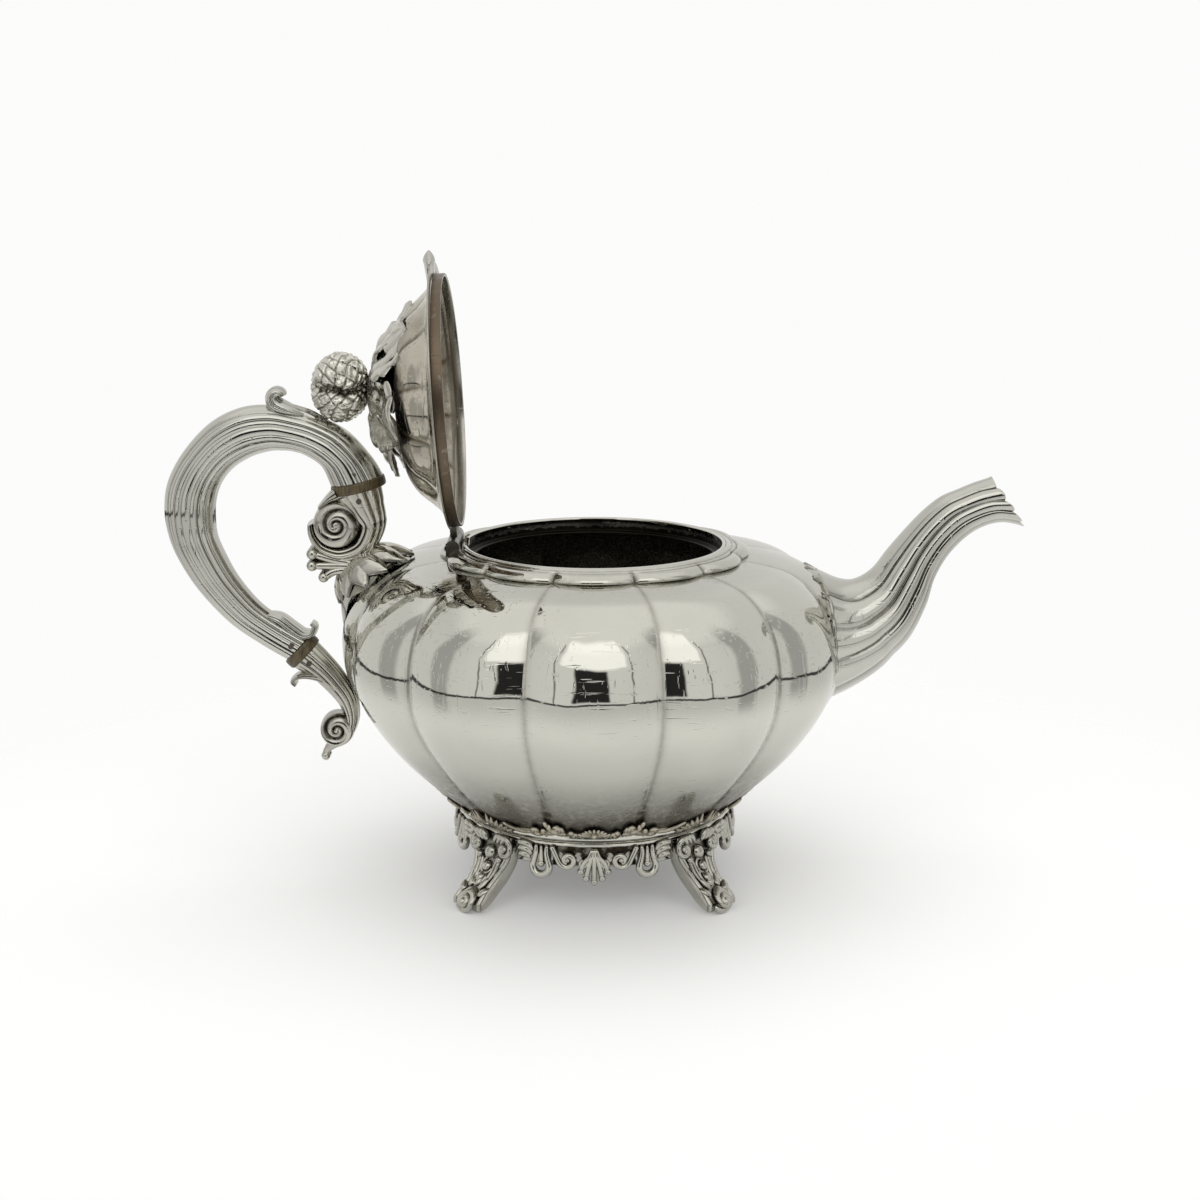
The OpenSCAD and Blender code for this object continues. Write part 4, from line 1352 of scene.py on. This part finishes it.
        put = MELON.lay(180, 99.0, swell)
        s = np.linspace(0, 1, 20)[1:]
        a = circle(96)
        lobes = 0.9 + 0.1 * np.cos(6 * a)
        u = 13.6 * s[:, None] * np.cos(a) * lobes
        v = np.where(np.sin(a) < 0, 19.0, 17.5) * s[:, None] * np.sin(a) * lobes + 0.5
        parts = [grid(np.stack([u, v, 0.1 + 0 * u], axis=-1), 0.35, caps=True).laid(put)]
        leaves = (
            (90, 16.5, 5.4), (60, 16.5, 4.4), (120, 16.5, 4.4), (25, 14.5, 4.4), (155, 14.5, 4.4),
            (-10, 13.2, 4.0), (190, 13.2, 4.0), (-42, 11.8, 3.9), (222, 11.8, 3.9), (-68, 11.5, 3.4),
            (248, 11.5, 3.4), (-90, 12.5, 3.6),
        )
        t = np.linspace(0, 1, 22)
        for k, (heading, length, width) in enumerate(leaves):
            b = math.radians(heading)
            bend = 0.5 * np.sin(t * 4 + k)
            path = np.stack([
                length * t * math.cos(b) - bend * math.sin(b),
                1.0 + length * t * math.sin(b) + bend * math.cos(b),
                0.25 + 0.9 * np.sin(t * math.pi * 0.9) + 0.15 * (k % 2),
            ], axis=1)
            half = width * np.sin(np.clip(t * 0.86 + 0.14, 0, 1) * math.pi) ** 0.8 + 0.05
            parts.append(blade(path, half, 0.7, 1.3, put, 0.15, veins=1, vein_depth=0.7, half=6))
        return merge(parts)

    def thumb_leaf(self) -> Shape:
        """A tongue lapped over the loop from the insulator, widening to a curl that stands up from it.

        Returns:
            The closed sheet, and the curl's solid roll.
        """
        line = curve([
            (-75.6, 136.6, 3.6, 5.9), (-79.0, 142.6, 4.2, 6.1), (-84.0, 148.2, 4.6, 6.0),
            (-89.6, 152.0, 4.6, 5.6), (-95.0, 153.9, 4.0, 5.1), (-99.6, 155.0, 2.6, 4.6),
            (-102.2, 155.8, 1.2, 4.0),
        ], 8)
        tangent = unit(np.gradient(line[:, :2], axis=0))
        out = np.stack([tangent[:, 1], -tangent[:, 0]], axis=1)
        out *= np.sign(out[:, 1:2] + 1e-6)
        across, wrap, relief = 33, 1.25, 0.45
        turn = np.linspace(-1, 1, across)
        bend = np.sin(turn * wrap) / math.sin(wrap)
        fall = (1 - np.cos(turn * wrap)) / (1 - math.cos(wrap))
        reeds = relief * np.cos(turn * 4.5 * math.pi) ** 2 + 0.5 * bell(np.abs(turn), 0.93, 0.07)
        skins = []
        for thick, ridges in ((0.9, reeds), (-0.3, 0 * reeds)):
            depth = thick + ridges - line[:, 3:4] * fall
            x, z = line[:, 0:1] + out[:, 0:1] * depth, line[:, 1:2] + out[:, 1:2] * depth
            skins.append(np.stack([x, line[:, 2:3] * bend, z], axis=-1))
        ring = np.concatenate([skins[0], skins[1][:, ::-1]], axis=1)
        top = np.clip(1 - reeds / relief, 0, 1) * 0.6
        deep = np.tile(np.append(top, np.full(across, 0.6)), (len(line), 1))
        roll = (
            (-92.0, 152.4, 0.6, 3.6), (-97.0, 153.8, 2.1, 5.2), (-100.9, 155.4, 2.7, 5.2),
            (-102.0, 157.6, 2.4, 5.0), (-101.0, 159.0, 2.2, 4.8), (-99.7, 159.2, 1.9, 4.5),
            (-98.8, 158.8, 1.4, 4.0), (-98.6, 158.2, 0.8, 3.4),
        )
        return merge([
            grid(ring, deep, caps=True), self.scroll(roll, 8, 0.1, (30, 90, 150, 210, 270, 330)),
        ])

    def build(self) -> None:
        """Builds and dresses the handle."""
        put_in_scene("reeded_loop", merge([self.loop(), self.lip()]), REEDED, "pot", ("handle_loop",))
        put_in_scene("upper_bone_ring", self.disc(self.upper, self.upper_tilt, 8.75, 3.4), BONE, "pot",
                     ("upper_insulator",))
        put_in_scene("lower_bone_ring", self.disc(self.lower, self.lower_tilt, 6.3, 3.6), BONE, "pot",
                     ("lower_insulator",))
        put_in_scene("upper_scroll_socket", self.upper_socket(), CAST, "pot", ("upper_socket",))
        put_in_scene("lower_scroll_socket", self.lower_socket(), CAST, "pot", ("lower_socket",))
        put_in_scene("shoulder_leaf", self.shoulder_leaf(), BRIGHT, "pot", ("upper_leaf_mount",))
        put_in_scene("thumb_scroll", self.thumb_leaf(), REEDED, "pot", ("thumb_leaf",))


# ---------------------------------------------------------------- lid


@dataclass(frozen=True)
class Lid:
    """The lobed dome with its edge band, thumb tab, leaf plate and bud, made closed and turned open."""

    hinge: tuple[float, float] = (-45.0, 111.5)
    open_angle: float = 93.5
    edge: float = 40.0
    rise: float = 15.0
    lean: float = 7.0
    off_centre: float = 4.3
    wall: float = 0.8
    flange: float = 2.5
    flange_shift: float = 1.6
    leaf_count: int = 7
    leaf_length: float = 28.6
    bud_half: tuple[float, float, float] = (10.9, 10.9, 9.4)
    bud_middle: float = 17.4
    knobs: int = 90
    rows: tuple = (
        (39.8, 0, 0), (38.4, 1, 0.005), (36, 2.2, 0.02), (33, 5.4, 0.05), (29.5, 9.2, 0.06),
        (24, 12.2, 0.055), (17, 13.9, 0.04), (9, 14.7, 0.02), (4, 15, 0),
    )

    def opened(self, shape: Shape) -> Shape:
        """Moves closed-lid geometry, measured from the hinge line, to where the open lid is."""
        return tilted(shape, self.open_angle, self.hinge)

    def on_dome(self, shape: Shape) -> Shape:
        """Moves finial geometry, made about +Z, onto the leaning line through the dome, and opens it."""
        return self.opened(tilted(shape, -self.lean, (self.off_centre - self.hinge[0], self.rise)))

    def dome(self) -> Shape:
        """The lobed sheet dome, outside and inside, with painted shade on its inner skin."""
        p = curve(self.rows, 10)
        a = circle(288)
        seam = MELON.seam(a)
        skins, deeps = [], []
        # the inner skin starts at 0.45, which is painted shade inside the lid
        for rows, base in ((inset(p, self.wall)[::-1], 0.45), (p, 0.0)):
            r = rows[:, 0:1] * (1 - rows[:, 2:3] * seam)
            skins.append(polar(r, a, rows[:, 1:2]) - np.array([self.hinge[0], 0, 0]))
            cleft = climb(np.sqrt(seam), 0.86, 0.14) * climb(rows[:, 2:3], 0, 0.04)
            under = climb(rows[:, 1:2], 7, 5) * 0.55
            deeps.append(np.clip(base + 0.8 * cleft + under, 0, 1))
        return self.opened(grid(np.concatenate(skins), np.concatenate(deeps), caps=True))

    def band(self) -> Shape:
        """The flat band round the lid's edge, and a thin flange on it that reaches further from the hinge."""
        e, out = self.edge, self.edge + self.flange
        line = filleted([(e - 1.0, -3.2), (e, -3.2), (e, 0.0), (e - 1.0, 0.0)], 0.25, 4)
        band = lathe(line, 288, 0.1 + 0.9 * climb(line[:, 0], e - 0.5, 0.3))
        lip = filleted([(e - 0.9, -0.05), (out, -0.05), (out, 0.55), (e - 0.9, 0.75)], 0.25, 4)
        rim = lathe(lip, 288, 0.25)
        rim.points[:, 0] += self.flange_shift
        both = merge([band, rim])
        both.points[:, 0] -= self.hinge[0]
        return self.opened(both)

    def tab(self) -> Shape:
        """A tongue on the far edge that tapers to a point, ridged along its middle."""
        rows = curve([
            (81.5, 3.6, 1.0), (87.8, 4.2, 1.5), (89.4, 3.2, 1.7), (91.0, 1.7, 1.2), (92.4, 0.25, 0.2),
        ], 7)
        a = circle(36)
        high = 1.0 + rows[:, 2:3] * np.sin(a) * (1 + 0.25 * bell(a, math.pi / 2, 0.3))
        ring = np.stack([rows[:, 0:1] + 0 * a, rows[:, 1:2] * np.cos(a), high], axis=-1)
        return self.opened(grid(ring, 0.15, caps=True))

    def leaves(self) -> Shape:
        """The finial's leaf plate: a cup of broad leaves that rise to the bud and fall away at their tips.

        The middle of the plate rises as a bell curve about a ring near the bud. Each leaf's half width is a
        sine of the way out with ragged teeth, and its edge lifts and dips as a sine.

        Returns:
            The plate.
        """
        def flat(u: Array, v: Array, n: Array) -> Array:
            """Lays the plate level."""
            return np.stack([u, v, n], axis=-1)

        parts: list[Shape] = []
        t = np.linspace(0, 1, 40)
        for k in range(self.leaf_count):
            b = TAU * k / self.leaf_count + 0.25 * math.sin(2.3 * k)
            length = self.leaf_length + 1.6 * math.sin(1.7 * k)
            r = 3 + (length - 3) * t
            rise = 1.2 + 0.4 * (k % 2) + 5.2 * bell(r, 9, 7.5) - 3.2 * (r / 25) ** 2
            rise += 0.9 * np.sin(t * 6 + 2 * k) * t**2
            swerve = 1.8 * np.sin(t * 3.6 + k)
            u, v = r * math.cos(b) - swerve * math.sin(b), r * math.sin(b) + swerve * math.cos(b)
            path = np.stack([u, v, rise], axis=1)
            teeth = 1 + 0.2 * (2 * np.abs((t * 5.5) % 1 - 0.5)) * np.clip(t * 2, 0, 1)
            width = 10.6 * np.sin(np.clip(0.16 + 0.84 * t, 0, 1) * math.pi) ** 0.75 * teeth + 0.1
            leaf = blade(path, width, 0.6, 1.0, flat, 0.0, veins=5, vein_depth=0.7, half=14)
            far = np.hypot(leaf.points[:, 0], leaf.points[:, 1])
            turn = np.arctan2(leaf.points[:, 1], leaf.points[:, 0])
            leaf.points[:, 2] += 1.0 * np.sin(turn * 9 + k) * np.clip(far / 24, 0, 1) ** 2
            leaf.hollow = np.clip(0.7 * leaf.hollow + 0.5 * np.clip(1 - far / 12, 0, 1), 0, 1)
            parts.append(leaf)
        seat = filleted([(1.0, 0.4), (7.0, 0.4), (9.5, 4.6), (6.2, 8.4), (1.0, 8.6)], 0.8, 4)
        parts.append(lathe(seat, 72, 0.8))
        return self.on_dome(merge(parts))

    def bud(self) -> Shape:
        """The knobbly bud: an oval covered in raised knobs, split across the middle by a waving cleft.

        Knob middles sit at the golden angle, in directions bent by slow sine waves. The skin is raised
        between the borders where two knobs are equally near, folded on top and pitted at each middle. The
        cleft sinks it near a waving line over the bud.

        Returns:
            The bud.
        """
        rows, cols = 130, 260
        lat = np.linspace(-0.5, 0.5, rows + 2)[1:-1, None] * math.pi
        way = polar(np.cos(lat), circle(cols)[None], np.sin(lat))
        k = np.arange(self.knobs)
        up = 1 - 2 * (k + 0.5) / self.knobs
        middles = polar(np.sqrt(1 - up**2), k * math.pi * (3 - math.sqrt(5)), up)
        bent = unit(way + 0.13 * np.sin(4.6 * way[..., [1, 2, 0]] + 0.7))
        near = np.sort(-(bent.reshape(-1, 3) @ middles.T), axis=1)[:, :2]
        first, second = np.arccos(np.clip(-near, -1, 1)).T.reshape(2, rows, cols)
        gap = climb(second - first, 0, 0.12)
        pit = bell(first, 0, 0.05)
        folds = np.sin(26 * bent[..., 0] + 9 * bent[..., 2]) * np.sin(23 * bent[..., 1] - 8 * bent[..., 0])
        knob = 0.75 * gap**0.6 - 0.3 * pit + 0.3 * folds * gap
        cleft = bell(way[..., 0] - 0.06 * np.sin(5 * lat), 0, 0.14) * np.clip(1.6 * np.cos(lat), 0, 1)
        size = 1 + (knob - 0.62) * 0.095 - 0.26 * cleft
        points = way * size[..., None] * np.array(self.bud_half)
        points[..., 2] += self.bud_middle
        deep = np.clip(0.9 - 1.6 * gap - 0.25 * folds + 0.4 * pit + 1.2 * cleft, 0, 1)
        return self.on_dome(grid(points, deep, caps=True))

    def build(self) -> None:
        """Builds and dresses the lid."""
        put_in_scene("lobed_dome", self.dome(), DOME, "lid", ("lid_shell",))
        put_in_scene("tarnished_band", self.band(), EDGE, "lid", ("lid_bezel",))
        put_in_scene("thumb_tab", self.tab(), REEDED, "lid", ("lid_tab",))
        put_in_scene("leaf_plate", self.leaves(), BRIGHT, "lid", ("finial_leaves",))
        put_in_scene("knobbly_bud", self.bud(), BRIGHT, "lid", ("finial_bud",))


# ---------------------------------------------------------------- small fittings and studio


@dataclass(frozen=True)
class Fittings:
    """The CAD nodes that keep their shape: they only take finishes."""

    cast: tuple[str, ...] = ("finial_stud", "finial_nut")
    pegs: tuple[str, ...] = (
        "upper_insulator_pins", "lower_insulator_pins", "body_hinge_knuckles", "lid_hinge_knuckle",
        "hinge_pin",
    )
    # the strainer cup is dressed in painted shade
    inner: tuple[str, ...] = ("strainer_cup",)

    def build(self) -> None:
        """Dresses each node in its finish."""
        for names, finish in ((self.cast, CAST), (self.pegs, PEG), (self.inner, INSIDE_SHADE)):
            for name in names:
                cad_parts[name].material_slots[0].material = finish.material()
                LOG.info("%s keeps its shape in %s", name, finish.name)


def near(tree: Tree, value: Socket, middle: float, half: float, soft: float) -> Socket:
    """1 where the value lies within half of the middle, falling to 0 over the soft width."""
    off = combine(tree, "ABSOLUTE", combine(tree, "SUBTRACT", value, middle), 0.0)
    return ramp(tree, off, half, half + soft, (1.0, 0.0))


@dataclass(frozen=True)
class Studio:
    """Pale floor, soft boxes, a bright room and the camera."""

    lens: float = 60.7
    camera_at: tuple[float, float, float] = (0.0018, -0.640, 0.239)
    pitch: float = 12.97
    ceiling: float = 1.0
    table: float = 0.72
    window: float = 0.5
    floor_radius: float = 0.62
    fade: tuple[float, float] = (0.12, 0.36)

    def world(self) -> None:
        """A bright room to reflect, and plain white behind the object.

        Brightness follows the direction: pale table below, a ceiling a little brighter than the walls, a
        window up in front, a dark card just over the table, a dim strip far round each side, and thin dark
        lines at the table's edge and the window's jambs. Slow noise bends the lines.
        """
        world = bpy.data.worlds.new("room")
        bpy.context.scene.world = world
        world.use_nodes = True
        tree = world.node_tree
        tree.nodes.clear()
        way = add(tree, "ShaderNodeTexCoord").outputs["Generated"]
        wave = add(tree, "ShaderNodeTexNoise", Scale=2.6, Detail=2.0)
        tree.links.new(way, wave.inputs["Vector"])
        sway = combine(tree, "MULTIPLY", combine(tree, "SUBTRACT", wave.outputs["Fac"], 0.5), 0.16)
        axes = add(tree, "ShaderNodeSeparateXYZ")
        tree.links.new(way, axes.inputs[0])
        ahead = combine(tree, "MULTIPLY", axes.outputs["Y"], -1.0)
        turn = combine(tree, "ADD", combine(tree, "ARCTAN2", axes.outputs["X"], ahead), sway)
        side = combine(tree, "ABSOLUTE", turn, 0.0)
        high = combine(tree, "ADD", axes.outputs["Z"], combine(tree, "MULTIPLY", sway, 0.5))

        def patch(across: Socket, wide: tuple, tall: tuple) -> Socket:
            """1 in a patch; wide and tall are its (middle, half, soft edge) across and in height."""
            return combine(tree, "MULTIPLY", near(tree, across, *wide), near(tree, high, *tall))

        def swap(first: Socket, second: float, share: Socket) -> Socket:
            """Goes from first to second as share goes from 0 to 1."""
            rest = combine(tree, "MULTIPLY", first, combine(tree, "SUBTRACT", 1.0, share))
            return combine(tree, "ADD", rest, combine(tree, "MULTIPLY", share, second))

        wall = ramp(tree, side, 0.75, 1.3, (0.86, 0.8))
        light = swap(wall, self.ceiling, ramp(tree, high, 0.66, 0.86))
        light = swap(light, self.table, ramp(tree, high, -0.21, -0.18, (1.0, 0.0)))
        window = patch(side, (0.0, 0.55, 0.08), (0.66, 0.22, 0.05))
        light = combine(tree, "ADD", light, combine(tree, "MULTIPLY", window, self.window))
        darker = (
            (near(tree, high, -0.192, 0.012, 0.012), 0.92),
            (patch(side, (0.68, 0.01, 0.01), (0.32, 0.5, 0.03)), 0.7),
            (patch(turn, (-0.05, 0.28, 0.06), (0.12, 0.24, 0.04)), 0.97),
            (patch(side, (1.42, 0.12, 0.12), (0.2, 0.5, 0.2)), 0.4),
        )
        for where, strength in darker:
            kept = combine(tree, "SUBTRACT", 1.0, combine(tree, "MULTIPLY", where, strength))
            light = combine(tree, "MULTIPLY", light, kept)
        tint = add(tree, "ShaderNodeCombineColor")
        for socket, share in zip(tint.inputs, (1.0, 0.99, 0.965)):
            tree.links.new(combine(tree, "MULTIPLY", light, share), socket)
        room = add(tree, "ShaderNodeBackground", Strength=1.0)
        tree.links.new(tint.outputs[0], room.inputs["Color"])
        plain = add(tree, "ShaderNodeBackground", Strength=1.0)
        plain.inputs["Color"].default_value = (0.97, 0.97, 0.965, 1)
        pick = add(tree, "ShaderNodeMixShader")
        tree.links.new(add(tree, "ShaderNodeLightPath").outputs["Is Camera Ray"], pick.inputs[0])
        tree.links.new(room.outputs[0], pick.inputs[1])
        tree.links.new(plain.outputs[0], pick.inputs[2])
        tree.links.new(pick.outputs[0], add(tree, "ShaderNodeOutputWorld").inputs[0])

    def soft_box(self, name: str, at: tuple, aim: tuple, size: tuple, power: float) -> None:
        """A rectangular soft light at a place, turned to a point; reflections don't show it."""
        data = bpy.data.lights.new(name, "AREA")
        data.shape, data.size, data.size_y, data.energy = "RECTANGLE", size[0], size[1], power
        made = bpy.data.objects.new(name, data)
        bpy.context.scene.collection.objects.link(made)
        made.location = at
        made.visible_glossy = False
        way = np.array(aim) - np.array(at)
        flat = math.hypot(way[0], way[1])
        made.rotation_euler = Euler((math.atan2(flat, -way[2]), 0, math.atan2(-way[0], way[1])))

    def floor(self) -> None:
        """A round pale matt floor with faint clouds, just under the feet, that fades out with distance."""
        count = 96
        mesh = bpy.data.meshes.new("pale_floor")
        mesh.from_pydata(polar(self.floor_radius, circle(count), -0.0002).tolist(), [], [tuple(range(count))])
        made = bpy.data.objects.new("pale_floor", mesh)
        bpy.context.scene.collection.objects.link(made)
        paint, tree, shader = new_material("pale_board")
        shader.inputs["Roughness"].default_value = 0.6
        noise = add(tree, "ShaderNodeTexNoise", Scale=9.0, Detail=5.0)
        tree.links.new(add(tree, "ShaderNodeTexCoord").outputs["Object"], noise.inputs["Vector"])
        colour = add(tree, "ShaderNodeValToRGB")
        colour.color_ramp.elements[0].color = (0.88, 0.885, 0.885, 1)
        colour.color_ramp.elements[1].color = (0.92, 0.925, 0.925, 1)
        tree.links.new(noise.outputs["Fac"], colour.inputs[0])
        tree.links.new(colour.outputs[0], shader.inputs["Base Color"])
        far = add(tree, "ShaderNodeVectorMath", operation="LENGTH")
        tree.links.new(add(tree, "ShaderNodeTexCoord").outputs["Object"], far.inputs[0])
        tree.links.new(ramp(tree, far.outputs["Value"], *self.fade, (0.8, 0.0)), shader.inputs["Alpha"])
        mesh.materials.append(paint)

    def camera(self) -> None:
        """The camera, level across and pitched down at the pot."""
        data = bpy.data.cameras.new("camera")
        data.lens, data.sensor_width = self.lens, 36.0
        data.clip_start, data.clip_end = 0.01, 50.0
        made = bpy.data.objects.new("camera", data)
        bpy.context.scene.collection.objects.link(made)
        made.location = self.camera_at
        made.rotation_euler = Euler((math.radians(90 - self.pitch), 0, 0))
        bpy.context.scene.camera = made

    def build(self) -> None:
        """Sets up everything round the object."""
        bpy.context.scene.view_settings.view_transform = "Standard"
        self.world()
        self.floor()
        self.soft_box("front_left_box", (-0.9, -1.3, 0.95), (0, 0, 0.07), (1.0, 1.0), 4.0)
        self.soft_box("front_right_box", (1.1, -1.2, 0.9), (0, 0, 0.07), (0.9, 1.0), 3.2)
        self.soft_box("top_box", (0.1, 0.3, 1.7), (0, 0, 0.05), (1.4, 1.4), 7.0)
        self.camera()


def main() -> None:
    """Builds the teapot's sub-assemblies in order."""
    logging.basicConfig(level=logging.INFO, format="%(name)s %(message)s")
    for part in (Studio(), Body(), Spout(), Stand(), Handle(), Lid(), Fittings()):
        part.build()
        LOG.info("%s done", type(part).__name__)


if __name__ == "__main__":
    main()
